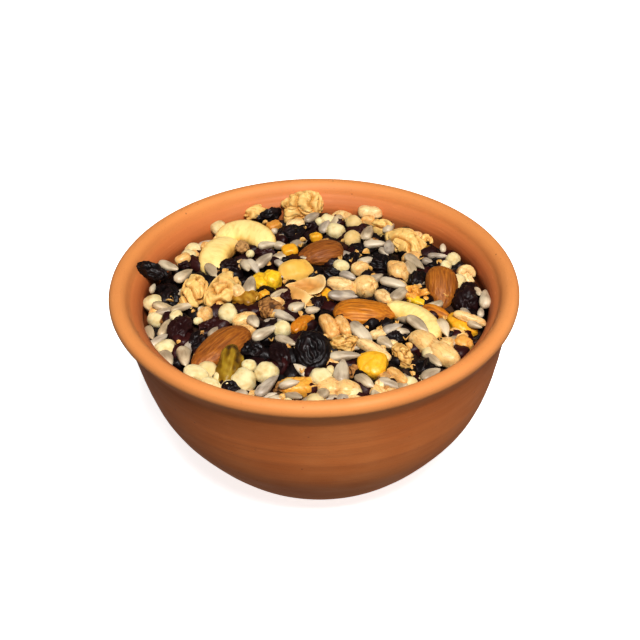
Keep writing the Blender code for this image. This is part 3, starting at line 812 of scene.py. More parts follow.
def curled_shell(size, seed):
    """Two thin chips that grew together at one end, open between them like a shell."""
    upper = dish(size, seed, cup=1.8, skin=1.3, tail=0.95, tip=0.30)
    lower = dish((size[0] * 0.92, size[1] * 0.95), seed + 3, cup=-1.6, skin=1.2, tail=0.8, tip=0.34)
    for lump, turn, pitch, bank in ((upper, -9.0, 9.0, 32.0), (lower, -46.0, -5.0, 30.0)):
        from_end = lump.points + (0.5 * np.ptp(lump.points[:, 0]), 0.0, 0.0)
        lump.points = from_end @ np.array(Matrix.Rotation(math.radians(turn), 3, "Z") @ tipped(pitch, bank)).T
        lump.points[:, 0] -= 0.45 * size[0]
    return joined((upper, lower))


print("a shell spans", np.ptp(curled_shell((14, 8, 6), 1).points, axis=0).round(1), "mm")

# %% [markdown]
# ## Kernels and a curved nut
#
# A shelled sunflower kernel is a flat drop, blunt at one end, and no two taper alike. The curved
# nut is a rod bent nearly to a ring. It leans back, because it rests on the wall of the bowl.


# %% Kernels and a curved nut
KERNEL_SLIM = 0.88  # share of the width in the table


def kernel(size, seed, detail=5):
    """A sunflower kernel: a flat drop, blunt at one end and drawn to a point at the other."""
    lump = Lump(detail, size, power=2.2)
    lump.taper(0.47, 0.72 + 0.24 * ((seed * 7) % 5) / 4.0)
    lump.swell(0.14, 4.0, seed)
    lines = crests(lump.points * (0.12, 1.0, 1.0), 1.7, seed + 1)
    lump.push(0.04 * lines)
    # the relief is lowered at the sides, which the material paints as shade
    lump.fit(relief=0.8 + 0.15 * lines - 0.6 * np.abs(lump.ball[:, 1]) ** 3)
    lump.points *= (1.0, KERNEL_SLIM, 1.0)
    return lump


def cashew(size, seed):
    """A small curved nut that leans back against the wall."""
    lump = banana(size, seed, detail=5, curve=2.3)
    lump.points = lump.points @ np.array(tipped(0.0, 50.0)).T
    return lump


print("a kernel spans", np.ptp(kernel((9.5, 4.8, 3.0), 1).points, axis=0).round(1), "mm")

# %% [markdown]
# ## Cereal
#
# A puffed ball is nearly round with small dents, a toasted cluster is a rough lump with holes
# between its flakes, and a rolled oat is thin and cupped. Displacement in the material could
# roughen them, but real relief also changes their outline, which shows at this size.


# %% Cereal
def puff(size, seed, detail=5):
    """A puffed ball of cereal, nearly round, with a few shallow dents and a fine grain."""
    lump = Lump(detail, size, power=2.15)
    lump.swell(0.20, 4.6, seed)
    pores, dents = bumps(lump.points, 0.9, seed + 2), bumps(lump.points, 2.6, seed + 1)
    lump.push(0.06 * pores + 0.30 * dents)
    return lump.fit(relief=0.82 + 0.25 * pores + 0.25 * dents)


def cluster(size, seed, detail=6):
    """Toasted oats that stuck together: a rough lump of flakes with a few holes."""
    lump = Lump(detail, size, power=2.3)
    lump.swell(0.34, 4.6, seed)
    gaps = folds(lump.points, 3.4, seed + 1, 0.07)
    crumb, fine = bumps(lump.points, 1.3, seed + 2), bumps(lump.points, 0.7, seed + 3)
    lump.push(0.50 * crumb + 0.16 * fine - 0.55 * gaps)
    return lump.fit(relief=0.72 + 0.45 * crumb + 0.3 * fine - 0.75 * gaps)


def flake(size, seed, detail=5):
    """A rolled oat: thin, oval and a little cupped, with a crease down its middle."""
    lump = Lump(detail, size, power=2.2)
    middle = np.exp(-(lump.points[:, 1] / 0.45) ** 2)
    lump.points[:, 2] += 0.9 * (lump.points[:, 1] / lump.half[1]) ** 2 - 0.35 * middle
    lump.swell(0.10, 2.5, seed)
    lump.relief = 0.75 - 0.4 * middle
    return lump


print("a flake is", np.ptp(flake((2.6, 1.9, 0.8), 1).points, axis=0)[2].round(2), "mm high")

# %% [markdown]
# ## How pieces lie
#
# The granola fills the bowl to a low crown. A piece gets its place from the pixel where its
# middle shows and from how high it lies over that crown. It is then turned to its heading,
# pitched, banked and settled on the slope.

# %% The surface of the granola
FILL_AT_WALL = 61.5
FILL_CROWN = 2.0
FILL_TILT = 1.0
FILL_RADIUS = 58.6  # of the wall at that height
LARGE_SINK = 0.32  # share of a large piece's thickness that lies in the granola


def crown(x, y):
    """Height of the granola's surface."""
    dome = FILL_CROWN * (1.0 - (x * x + y * y) / FILL_RADIUS ** 2)
    return FILL_AT_WALL + dome + FILL_TILT * y / FILL_RADIUS


def at_height(x, y, height):
    """The point at this height that shows at pixel x, y, in the upright bowl."""
    place = seen_at(x, y, height)
    place.x -= aside(height)
    return place


def over_crown(x, y, rise):
    """The point this far above the surface that shows at pixel x, y, in the upright bowl."""
    height = FILL_AT_WALL + rise
    for _ in range(4):
        place = at_height(x, y, height)
        height = crown(place.x, place.y) + rise
    return place


def slope_at(place):
    """The turn that settles an upright piece on the surface's slope."""
    fall = 2.0 * FILL_CROWN / FILL_RADIUS ** 2
    normal = Vector((place.x * fall, place.y * fall - FILL_TILT / FILL_RADIUS, 1.0))
    return Vector((0.0, 0.0, 1.0)).rotation_difference(normal).to_matrix()


print("surface in the middle:", crown(0.0, 0.0), "mm, at the front wall:", round(crown(0.0, -58.0), 2))

# %% [markdown]
# ## From a lump to an object
#
# A laid lump becomes a mesh, and what its material reads is stored on its points: `relief`,
# `tone` and `grain`. They could be painted in textures, but numbers on the points need no
# unwrapping and stay with the piece when many are joined.


# %% Lay a lump and make it an object
def lay(lump, place, turn, pitch=0.0, bank=0.0, tone=0.5):
    """Moves a lump to its place and keeps its own coordinates as its grain."""
    lump.grain = lump.points
    turned = slope_at(place) @ Matrix.Rotation(turn, 3, "Z") @ tipped(pitch, bank)
    lump.points = lump.points @ np.array(turned).T + np.array(place)
    lump.points[:, 0] += aside(lump.points[:, 2])
    lump.tone = np.full(len(lump.points), tone)
    return lump


def mesh_of(name, lump):
    """A mesh from a lump, with what its material reads stored on its points."""
    mesh = bpy.data.meshes.new(name)
    mesh.from_pydata((lump.points * MM).tolist(), [], lump.faces)
    mesh.shade_smooth()
    lump.relief = np.clip(lump.relief, 0.0, 1.0)
    for label, kind, key in (("relief", "FLOAT", "value"), ("tone", "FLOAT", "value"),
                             ("grain", "FLOAT_VECTOR", "vector")):
        if hasattr(lump, label):
            values = getattr(lump, label).ravel()
            mesh.attributes.new(label, kind, "POINT").data.foreach_set(key, values)
    return mesh


def add_piece(name, lumps, finish, solid):
    """One object from lumps that are laid, standing for a solid."""
    piece = placed(name, mesh_of(name, joined(lumps)))
    piece.data.materials.append(finish.material)
    stands_for(piece, solid)
    return piece


test_lump = lay(almond((22.0, 12.0, 8.0), 1, detail=4), Vector((0.0, 0.0, 0.0)), 0.0)
print("an almond that is laid spans", np.ptp(test_lump.points, axis=0).round(1), "mm")

# %% [markdown]
# ## Almond skin and walnut
#
# Food is never one colour: its folds are painted with shade and its crests paler, and no two
# pieces match. So each material mixes its colours by `relief`, by a noise along the `grain` and
# by the piece's own `tone`. Soft, moist pieces let some light in, which is the subsurface weight.

# %% Almond skin and walnut
skin = almond_skin = Finish("almond_skin", specular_ior_level=0.35)
streaks = skin.noise(0.6, (11.0, 1.0, 1.0), detail=4.0)
brown = skin.ramp(streaks, (0.30, (84, 42, 16)), (0.50, (130, 72, 30)), (0.74, (162, 98, 44)))
tan = skin.ramp(streaks, (0.24, (160, 90, 14)), (0.46, (200, 122, 22)), (0.76, (226, 156, 48)))
skin.colour(skin.blend(skin.tone, brown, tan))
# painted shade in the furrows between the skin's lines
skin.over((92, 46, 22), 0.5, skin.relief, 0.6, 0.1)
skin.over((140, 76, 28), 0.3, skin.noise(5.0, detail=2.0), 0.4, 0.7)
skin.roughness(streaks, 0.62, 0.46)
skin.bump(streaks, 0.24, 0.6)

flesh = walnut_flesh = Finish("walnut_flesh", specular_ior_level=0.4, subsurface_weight=0.06,
                              subsurface_radius=(0.002, 0.001, 0.0005))
mottle = flesh.noise(2.2, detail=4.0)
# painted shade: the ramp darkens the creases, where the relief is low
flesh.colour(flesh.ramp(flesh.relief, (0.0, (88, 50, 18)), (0.35, (188, 134, 62)), (0.95, (234, 196, 124))))
flesh.over((206, 150, 68), 0.55, mottle, 0.42, 0.70)
flesh.over((244, 216, 148), 0.4, mottle, 0.45, 0.28)
flesh.roughness(mottle, 0.45, 0.62)
flesh.bump(flesh.noise(0.6), 0.12, 0.5)
print("almond and walnut:", len(skin.tree.nodes), "and", len(flesh.tree.nodes), "nodes")

# %% [markdown]
# ## Raisin skins
#
# A dark raisin is nearly black and brown on its crests, some of them reddish, with a soft shine,
# and painted shade darkens its folds. A golden one is amber or olive and lets light in, with
# painted shade in its creases and a paler top on its crests that is partly a painted highlight.
# One ramp along `relief` gives the folds, and `tone` picks the kind, so a single material serves
# a whole heap.

# %% Raisins, dark and golden
skin = raisin_skin = Finish("raisin_skin", specular_ior_level=0.28)
cloud = skin.noise(2.4)
# the raisin's own near-black to brown, with painted shade darkening the folds
skin.colour(skin.ramp(skin.relief, (0.0, (8, 3, 3)), (0.6, (20, 10, 10)), (1.0, (40, 21, 19))))
skin.over((62, 18, 16), 0.85, skin.tone, 0.5, 1.0)
skin.over((50, 36, 40), 0.25, cloud, 0.55, 0.8)
skin.roughness(cloud, 0.34, 0.54)
skin.bump(skin.noise(0.5, (2.0, 1.0, 1.0)), 0.14, 0.6)

skin = golden_skin = Finish("golden_raisin_skin", specular_ior_level=0.42, subsurface_weight=0.2,
                            subsurface_radius=(0.003, 0.002, 0.0006))
cloud = skin.noise(2.6, (2.0, 1.0, 1.0))
# painted shade in the creases, and a paler top on the crests that is partly a painted highlight
amber = skin.ramp(skin.relief, (0.0, (76, 42, 6)), (0.55, (146, 94, 14)), (1.0, (206, 158, 60)))
olive = skin.ramp(skin.relief, (0.0, (66, 42, 6)), (0.55, (134, 100, 13)), (1.0, (182, 152, 50)))
skin.colour(skin.blend(skin.tone, amber, olive))
skin.over((104, 66, 12), 0.45, cloud, 0.45, 0.75)
skin.roughness(cloud, 0.30, 0.48)
skin.bump(cloud, 0.2, 0.4)
print("raisins:", len(raisin_skin.tree.nodes), "and", len(golden_skin.tree.nodes), "nodes")

# %% [markdown]
# ## Fruit flesh
#
# Dried banana is cream with short fibres across it, darker towards its edges and with painted
# shade on its underside, dried apple is tan with a pale edge, and candied fruit is a clear
# yellow to orange with sugar on it and painted shade in its creases. Photographs could be
# wrapped round the pieces, but noise along the `grain` fits every shape and never repeats.

# %% Banana, dried apple and candied fruit
pulp = banana_flesh = Finish("banana_flesh", specular_ior_level=0.35, subsurface_weight=0.12,
                             subsurface_radius=(0.003, 0.002, 0.001))
fibres = pulp.noise(1.4, (1.0, 3.0, 1.0), detail=4.0)
# the relief ramp darkens the edges and paints shade on the underside
pulp.colour(pulp.ramp(pulp.relief, (0.15, (192, 138, 66)), (0.5, (230, 190, 108)), (0.95, (242, 216, 146))))
pulp.over((208, 162, 84), 0.5, fibres, 0.5, 0.75)
pulp.roughness(fibres, 0.5, 0.68)
pulp.bump(fibres, 0.3, 0.6)

pulp = chip_flesh = Finish("dried_apple_flesh", specular_ior_level=0.35)
fibres = pulp.noise(1.8, (1.0, 2.5, 1.0), detail=4.0)
pulp.colour(pulp.ramp(pulp.relief, (0.25, (200, 144, 76)), (0.6, (214, 166, 98)), (0.95, (236, 204, 146))))
pulp.over((230, 182, 78), 0.75, pulp.tone, 0.5, 1.0)
pulp.over((208, 148, 70), 0.4, fibres, 0.5, 0.8)
pulp.roughness(fibres, 0.45, 0.62)
pulp.bump(fibres, 0.2, 0.4)

pulp = candied = Finish("candied_fruit", specular_ior_level=0.5, subsurface_weight=0.18,
                        subsurface_radius=(0.003, 0.0018, 0.0004))
sugar = pulp.noise(1.2, detail=4.0)
pulp.colour(pulp.ramp(pulp.tone, (0.0, (236, 190, 40)), (0.35, (230, 168, 40)),
                      (0.7, (222, 164, 84)), (1.0, (196, 122, 20))))
# painted shade in the creases, where the relief is low
pulp.over((176, 100, 18), 0.7, pulp.relief, 0.75, 0.2)
pulp.over((240, 206, 100), 0.45, sugar, 0.55, 0.8)
pulp.roughness(sugar, 0.34, 0.55)
pulp.bump(sugar, 0.25, 0.4)
print("fruit:", [len(finish.tree.nodes) for finish in (banana_flesh, chip_flesh, candied)], "nodes")

# %% [markdown]
# ## Nut flesh and kernels
#
# Roasted peanuts are mottled from cream to tan, with thin brown cracks and painted shade in
# their seams, dents and waists. Sunflower kernels are grey or cream with faint lines along them
# and painted shade at their sides, and a broad noise over the whole heap lets some lie paler and
# some darker than the rest.

# %% Peanuts and kernels
flesh = peanut_flesh = Finish("peanut_flesh", specular_ior_level=0.45, subsurface_weight=0.08,
                              subsurface_radius=(0.002, 0.001, 0.0006))
mottle = flesh.noise(1.6, (1.8, 1.0, 1.0), detail=4.0)
flesh.colour(flesh.ramp(flesh.tone, (0.0, (236, 206, 152)), (0.5, (230, 190, 126)), (1.0, (224, 172, 102))))
# painted shade in seams, dents and the waist, where the relief is low
flesh.over((172, 112, 52), 0.75, flesh.relief, 0.7, 0.2)
flesh.over((204, 146, 80), 0.6, mottle, 0.54, 0.72)
flesh.over((240, 216, 164), 0.6, mottle, 0.47, 0.30)
cracks = flesh.noise(2.6, (2.2, 1.0, 1.0), detail=2.0)
cracks = flesh.times(flesh.band(cracks, 0.47, 0.495), flesh.band(cracks, 0.52, 0.50), 0.5)
flesh.over((184, 124, 62), cracks)
flesh.roughness(mottle, 0.34, 0.50)
flesh.bump(mottle, 0.2, 0.5)

coat = seed_coat = Finish("sunflower_kernel", specular_ior_level=0.5)
lines = coat.noise(1.3, (4.0, 1.0, 1.0))
grey = coat.ramp(lines, (0.26, (138, 124, 110)), (0.46, (174, 160, 144)), (0.72, (204, 192, 178)))
cream = coat.ramp(lines, (0.26, (158, 130, 94)), (0.46, (196, 172, 134)), (0.72, (220, 200, 160)))
patch = coat.noise(7.0, detail=1.0, space="place")
coat.colour(coat.blend(coat.tone, grey, cream))
coat.over((218, 202, 174), 0.6, patch, 0.52, 0.64)
coat.over((136, 118, 96), 0.5, patch, 0.54, 0.40)
# painted shade at the kernel's sides and between its lines
coat.over((124, 108, 88), 0.6, coat.relief, 0.5, 0.1)
coat.roughness(lines, 0.52, 0.36)
coat.bump(lines, 0.10, 0.4)
print("nuts and kernels:", len(flesh.tree.nodes), "and", len(coat.tree.nodes), "nodes")

# %% [markdown]
# ## Puffed and toasted cereal
#
# Puffed balls are pale and matt, with painted shade in their dents. Toasted oats are brown with
# painted shade in their holes and paler crumbs, so their colour follows the relief and a rough
# noise. Neither has a shine, so the roughness is one constant.

# %% Puffed cereal and toasted oats
crust = puffed = Finish("puffed_cereal", specular_ior_level=0.3, roughness=0.66, subsurface_weight=0.06,
                        subsurface_radius=(0.002, 0.0015, 0.0008))
# painted shade in the dents, where the relief is low
crust.colour(crust.ramp(crust.relief, (0.2, (170, 124, 62)), (0.6, (210, 185, 130)), (0.9, (226, 210, 163))))
crust.over((206, 176, 104), 0.5, crust.noise(3.5), 0.5, 0.75)
crust.over((214, 172, 100), 0.6, crust.tone, 0.75, 1.0)
crust.bump(crust.noise(0.45), 0.20, 0.6)

crust = toasted = Finish("toasted_oats", specular_ior_level=0.3, roughness=0.7)
crumb = crust.noise(1.1, detail=5.0, rough=0.65)
# painted shade in the holes, where the relief is low
crust.colour(crust.ramp(crust.relief, (0.1, (64, 34, 13)), (0.45, (128, 82, 38)), (0.9, (176, 126, 70))))
crust.over((98, 56, 26), 0.65, crumb, 0.60, 0.70)
crust.over((204, 160, 98), 0.5, crumb, 0.42, 0.30)
crust.over((190, 150, 98), 0.7, crust.tone, 0.6, 1.0)
crust.bump(crumb, 0.35, 0.6)
print("cereal:", len(puffed.tree.nodes), "and", len(toasted.tree.nodes), "nodes")

# %% [markdown]
# ## The large pieces
#
# Each large piece stands for a solid of the same name. A row gives its shape, where its middle
# shows, its slant in the picture, its length, width and thickness, how far it is raised, its
# pitch and its bank, and its tone.

# %% The table of large pieces
SHAPES = {
    "almond": (almond, almond_skin, "almond"),
    "walnut": (walnut, walnut_flesh, "walnut"),
    "raisin": (raisin, raisin_skin, "raisin"),
    "prune": (prune, raisin_skin, "raisin"),
    "grape": (grape, golden_skin, "pale_raisin"),
    "golden": (chunk, golden_skin, "pale_raisin"),
    "folded": (partial(walnut, folded=4.0), walnut_flesh, "walnut"),
    "amber": (walnut, candied, "walnut"),
    "crumb": (cluster, walnut_flesh, "walnut"),
    "arch": (partial(banana, curve=10.5, ridge=0.6), banana_flesh, "banana"),
    "slice": (partial(banana, curve=19.0, droop=20.0), banana_flesh, "banana"),
    "crescent": (partial(banana, curve=13.5, ridge=1.6), banana_flesh, "banana"),
    "shell": (curled_shell, chip_flesh, "dried_apple"),
    "dome": (partial(dish, cup=-1.2, skin=3.0), chip_flesh, "dried_apple"),
    "chunk": (chunk, candied, "dried_fruit"),
    "twin": (twin_chunk, candied, "dried_fruit"),
    "disc": (partial(chunk, power=3.0, rough=0.12, crease=0.15), candied, "dried_fruit"),
    "pea": (pea, peanut_flesh, "peanut"),
    "barrel": (partial(split_nut, detail=6), peanut_flesh, "peanut"),
    "double": (double_nut, peanut_flesh, "peanut"),
}
LARGE = (
    ("almond_front", "almond", 366, 313, -2, 22.5, 12.5, 8.0, 0.2, 0, 0, 0.9),
    ("almond_back", "almond", 319, 254, 192, 18.5, 12.5, 8.0, 0.1, -3, 0, 0.2),
    ("almond_right", "almond", 442, 288, -92, 17.5, 11.5, 8.0, 1.0, -22, 0, 0.4),
    ("almond_left", "almond", 219, 349, 213, 26.0, 13.0, 8.0, 0.6, 0, 0, 0.32),
    ("almond_sliver", "almond", 438, 313, -22, 12.0, 5.0, 4.4, 1.2, 0, 0, 0.95),
    ("walnut_back", "folded", 303, 208, 8, 16.5, 9.5, 13.0, 1.35, 0, -24, 0.5),
    ("walnut_left", "walnut", 193, 294, 72, 16.5, 9.4, 10.0, 0.8, 0, 0, 0.5),
    ("walnut_middle", "walnut", 223, 293, 66, 18.5, 11.0, 10.0, 0.6, 0, 0, 0.5),
    ("walnut_right", "walnut", 406, 242, -32, 17.5, 12.0, 9.0, 0.6, 0, 0, 0.5),
    ("walnut_far", "walnut", 383, 228, -20, 9.5, 7.5, 7.0, 0.3, 0, 0, 0.5),
    ("walnut_crumb", "crumb", 403, 356, -60, 10.0, 7.4, 7.0, 0.3, 0, 0, 0.5),
    ("walnut_small", "amber", 416, 295, -15, 10.0, 6.8, 5.8, 1.2, 0, 0, 0.62),
    ("banana_back", "arch", 249, 233, -14, 25.0, 10.4, 7.5, 2.0, 0, 18, 0.5),
    ("banana_left", "slice", 217, 253, 54, 21.5, 11.2, 6.8, 1.2, 6, 0, 0.5),
    ("banana_right", "crescent", 420, 318, -35, 25.0, 9.0, 6.6, 0.8, 0, 0, 0.5),
    ("apple_curl", "shell", 303, 287, -4, 14.0, 7.6, 6.0, 2.0, 0, 0, 0.3),
    ("dried_chip", "dome", 297, 270, 10, 12.0, 10.0, 6.0, 2.6, 0, 26, 1.0),
    ("fruit_yellow", "twin", 266, 282, -12, 10.5, 8.6, 7.4, 0.3, 0, 0, 0.0),
    ("fruit_round", "disc", 372, 366, -8, 10.0, 9.6, 6.6, 0.6, 0, 12, 0.2),
    ("fruit_side", "disc", 460, 326, -35, 12.5, 7.0, 6.0, 0.3, 0, 0, 0.3),
    ("fruit_pale", "chunk", 463, 345, -35, 6.5, 6.2, 6.2, 0.0, 0, 0, 0.7),
    ("fruit_front", "chunk", 297, 389, 4, 12.0, 7.5, 7.2, 0.0, 0, 0, 0.55),
    ("apricot_strip", "chunk", 302, 326, 38, 10.5, 4.8, 6.0, 0.0, 0, 0, 1.0),
    ("golden_raisin", "golden", 246, 301, -20, 9.5, 8.6, 7.4, 0.0, 0, 0, 0.2),
    ("olive_raisin", "grape", 231, 367, 74, 17.0, 9.0, 7.6, 1.0, 14, 0, 1.0),
    ("raisin_wall", "raisin", 152, 271, -16, 12.5, 7.2, 5.6, 6.2, -12, 0, 0.3),
    ("raisin_big", "raisin", 168, 295, -72, 12.5, 9.0, 7.2, 0.0, 0, 0, 0.2),
    ("raisin_left", "raisin", 181, 329, 60, 13.5, 8.5, 7.4, 0.2, 0, 0, 0.75),
    ("raisin_shade", "raisin", 210, 326, 14, 9.5, 5.0, 5.4, 0.0, 0, 0, 0.9),
    ("raisin_under", "raisin", 230, 267, 15, 8.5, 6.2, 6.2, 0.2, 0, 0, 0.6),
    ("raisin_far", "raisin", 294, 233, 24, 12.5, 7.5, 7.4, 0.0, 0, 0, 0.2),
    ("raisin_strip", "raisin", 269, 215, 18, 11.0, 4.8, 6.0, 1.4, 0, 0, 0.1),
    ("raisin_flat", "raisin", 361, 251, -8, 9.5, 6.5, 5.8, 0.0, 0, 0, 0.4),
    ("raisin_mid", "raisin", 380, 264, -20, 8.8, 8.5, 6.4, 0.0, 0, 0, 0.3),
    ("raisin_right", "raisin", 418, 281, 50, 9.5, 7.0, 6.8, 0.0, 0, 0, 0.3),
    ("raisin_rim", "raisin", 467, 297, 64, 15.0, 9.6, 8.6, 0.6, 0, 0, 0.6),
    ("raisin_front", "raisin", 253, 351, -20, 8.5, 7.5, 6.8, 0.0, 0, 0, 0.5),
    ("raisin_deep", "raisin", 280, 357, -62, 13.0, 7.5, 7.2, 0.0, 0, 0, 0.6),
    ("raisin_edge", "raisin", 425, 369, 30, 9.5, 8.0, 7.6, 0.0, 0, 0, 0.2),
    ("prune", "prune", 313, 352, 84, 15.5, 12.0, 9.0, 1.8, 26, 0, 0.1),
    ("chickpea", "pea", 366, 287, 20, 8.8, 8.4, 7.8, 0.0, 0, 0, 0.5),
    ("peanut_round", "barrel", 398, 272, -62, 9.6, 7.5, 7.4, 0.5, 0, 0, 0.75),
    ("peanut_double", "double", 434, 349, -31, 21.0, 8.0, 7.6, 0.8, 0, 0, 0.5),
    ("peanut_front", "double", 339, 390, -6, 14.5, 8.0, 7.6, 0.0, 0, 0, 0.5),
)

print(len(LARGE), "rows of", len(SHAPES), "kinds")

# %% [markdown]
# ## Building the large pieces
#
# Each row becomes one object and takes the place of the plain solid of the same name. A third of
# its thickness is sunk in the granola, as a real piece settles between its neighbours. A physics
# run could drop them, but they would not come to lie where they should.

# %% Build the large pieces
for seed, (name, kind, x, y, slant, *size, raised, pitch, bank, tone) in enumerate(LARGE):
    shape, finish, slot = SHAPES[kind]
    place = over_crown(x, y, (0.5 - LARGE_SINK) * size[2] + raised)
    lump = lay(shape(size, seed), place, heading(slant), pitch, bank, tone)
    add_piece(f"{name}_piece", [lump], finish, name)
print(len(LARGE), "large pieces")

# %% [markdown]
# ## The small pieces that show
#
# Sunflower kernels lie on top of everything, with puffed balls and bits of nut between. Those
# that can be told apart are placed one by one, as above, and each kind is one joined mesh.
# Near the wall a piece rides up on it, so those have their own height over the table.

# %% Tables of small pieces: x, y, slant, length, width, thickness, rise over the surface
KERNELS = (
    (168, 266, -25, 9.5, 4.6, 2.8, 6.5), (184, 275, 40, 9.5, 5.0, 3.0, 4.5),
    (168, 311, 8, 9.0, 3.8, 2.6, 2.6), (183, 307, 16, 9.6, 3.8, 2.6, 3.2), (165, 328, 55, 9.0, 3.6, 2.8, 3.0),
    (158, 341, 30, 8.6, 3.8, 2.8, 2.6), (167, 359, -50, 8.6, 5.4, 3.6, 2.6),
    (184, 357, -78, 10.0, 5.6, 4.0, 3.0), (246, 266, -65, 9.2, 4.2, 3.0, 3.4),
    (254, 267, -50, 9.0, 3.8, 2.8, 3.6), (264, 260, 36, 9.2, 4.8, 3.0, 3.6),
    (250, 285, 76, 9.6, 5.4, 3.4, 4.4), (268, 245, 8, 7.6, 4.4, 3.0, 3.6),
    (284, 316, -28, 10.4, 4.4, 2.8, 3.0), (265, 332, 27, 11.0, 5.4, 3.2, 3.4),
    (286, 341, -24, 9.2, 4.0, 2.8, 3.0), (254, 322, -55, 7.2, 5.0, 3.4, 3.0),
    (268, 385, 40, 12.0, 4.4, 3.0, 4.2), (267, 397, 14, 7.2, 3.2, 2.6, 2.0),
    (214, 332, 50, 5.6, 3.6, 2.8, 3.4), (312, 217, 34, 8.0, 4.4, 2.8, 4.6),
    (325, 226, 60, 8.4, 4.4, 2.8, 3.4), (368, 232, 64, 10.4, 5.0, 3.0, 3.6),
    (375, 244, 0, 8.6, 4.0, 2.8, 3.4), (389, 246, 86, 9.6, 4.6, 3.0, 3.6),
    (384, 252, -45, 5.6, 3.4, 2.6, 2.6), (366, 261, 28, 8.0, 4.2, 3.0, 3.4),
    (415, 262, -38, 10.2, 4.8, 2.8, 4.2), (411, 269, -60, 8.0, 5.0, 3.0, 3.0),
    (438, 256, 2, 7.6, 2.8, 2.4, 2.8), (393, 283, -14, 9.8, 4.8, 3.0, 3.8),
    (400, 294, 38, 9.6, 5.2, 3.2, 3.6), (376, 278, 30, 7.4, 4.6, 3.0, 2.8),
    (348, 276, -25, 7.4, 4.4, 3.0, 2.8), (343, 296, 4, 10.6, 5.0, 3.2, 4.4),
    (361, 333, -42, 11.4, 6.0, 3.4, 3.4), (345, 356, -4, 10.6, 4.6, 3.2, 3.8),
    (342, 370, 80, 12.4, 6.0, 3.6, 3.6), (365, 381, -32, 8.0, 4.6, 3.2, 2.8),
    (386, 343, -30, 6.8, 4.8, 3.2, 3.0), (418, 324, -32, 9.8, 5.0, 3.0, 4.8),
    (431, 374, 24, 8.0, 4.6, 3.2, 3.2), (475, 325, -20, 5.6, 3.4, 2.6, 4.6),
    (434, 361, -40, 8.0, 4.0, 3.0, 3.0), (393, 328, 16, 7.8, 4.0, 3.2, 3.0),
    (280, 294, 18, 7.6, 3.4, 2.6, 2.8), (297, 307, 20, 6.4, 5.2, 3.6, 2.4),
    (444, 328, -65, 8.6, 4.6, 3.0, 3.2), (281, 265, -35, 6.4, 3.2, 2.6, 2.8),
    (271, 322, 20, 6.0, 3.8, 2.8, 1.4), (289, 384, 6, 7.0, 3.0, 2.4, 5.0), (282, 237, 20, 5.0, 3.2, 2.4, 1.8),
    (275, 230, 70, 4.6, 3.0, 2.4, 1.8), (313, 310, 12, 5.4, 3.4, 2.6, 3.0),
    (281, 246, -12, 5.6, 4.4, 3.0, 2.8), (443, 248, 80, 4.8, 2.8, 2.4, 3.4),
    (428, 262, -12, 4.6, 3.4, 2.8, 2.6), (404, 332, 10, 5.6, 3.8, 2.8, 1.8),
)
PUFFS = (
    (154, 304, 0, 7.4, 7.0, 6.6, 1.6), (228, 314, 80, 7.4, 6.8, 6.6, 3.0), (336, 232, 10, 7.2, 6.4, 6.2, 2.8),
    (352, 239, 60, 7.4, 6.4, 6.2, 2.8), (354, 223, 0, 6.4, 6.0, 5.8, 2.6), (282, 329, 20, 6.4, 6.0, 5.8, 2.0),
    (267, 373, 30, 8.2, 7.4, 7.0, 3.0), (244, 381, 40, 8.4, 7.8, 7.4, 2.8), (249, 367, 0, 5.0, 4.8, 4.6, 3.0),
    (196, 375, -8, 8.6, 6.4, 5.6, 2.4), (211, 385, -16, 6.8, 5.0, 4.4, 1.8),
    (321, 379, -30, 8.0, 7.2, 6.8, 2.2), (166, 349, -10, 7.6, 7.0, 6.0, 1.6),
    (341, 267, -10, 6.2, 5.4, 5.0, 2.4), (446, 266, 70, 4.6, 4.0, 4.0, 3.0),
    (219, 377, 70, 5.2, 3.8, 3.6, 1.8), (250, 254, 30, 3.4, 3.2, 3.0, 3.0),
    (176, 316, 30, 4.8, 4.2, 3.6, 2.6), (198, 321, 10, 3.4, 3.0, 2.8, 2.6),
    (320, 222, 60, 4.4, 3.8, 3.6, 2.8), (331, 371, 80, 5.6, 3.4, 3.2, 1.6),
)
NUT_BITS = (
    (295, 224, 12, 7.6, 4.6, 3.6, 3.0), (340, 284, -12, 9.6, 5.6, 4.4, 2.8),
    (329, 326, -58, 12.0, 5.4, 4.4, 2.6), (343, 326, -60, 10.0, 4.6, 4.2, 2.8),
    (374, 349, -25, 13.6, 4.6, 4.0, 3.2), (398, 376, -40, 9.6, 3.8, 3.4, 3.0),
    (244, 319, 8, 9.0, 5.0, 4.0, 2.4), (205, 314, 55, 6.4, 5.0, 4.2, 2.6), (360, 268, 24, 6.8, 4.8, 4.4, 2.8),
    (368, 220, -10, 5.4, 4.2, 3.8, 2.8), (238, 292, -50, 6.0, 5.0, 4.4, 4.0),
    (383, 296, -55, 8.4, 5.2, 3.2, 3.0), (470, 318, -10, 11.6, 3.4, 3.0, 5.2),
    (183, 259, 20, 6.2, 3.8, 3.4, 6.0), (379, 334, 10, 6.4, 3.6, 3.0, 2.0),
    (205, 246, 70, 3.8, 3.0, 2.6, 3.6), (382, 384, 30, 5.4, 4.0, 3.4, 1.8),
)
CLUSTERS = (
    (271, 309, -35, 10.6, 8.6, 6.6, 1.8), (242, 247, 40, 6.6, 5.6, 4.6, 4.6),
    (281, 388, 60, 5.6, 4.4, 4.0, 1.6), (309, 383, 80, 4.4, 3.4, 3.2, 1.8),
    (353, 371, 70, 5.4, 3.6, 3.2, 1.4), (388, 386, 30, 4.4, 3.2, 3.0, 1.6),
)
PALE_CLUSTERS = ((345, 343, 10, 10.4, 7.6, 6.4, 2.0),)
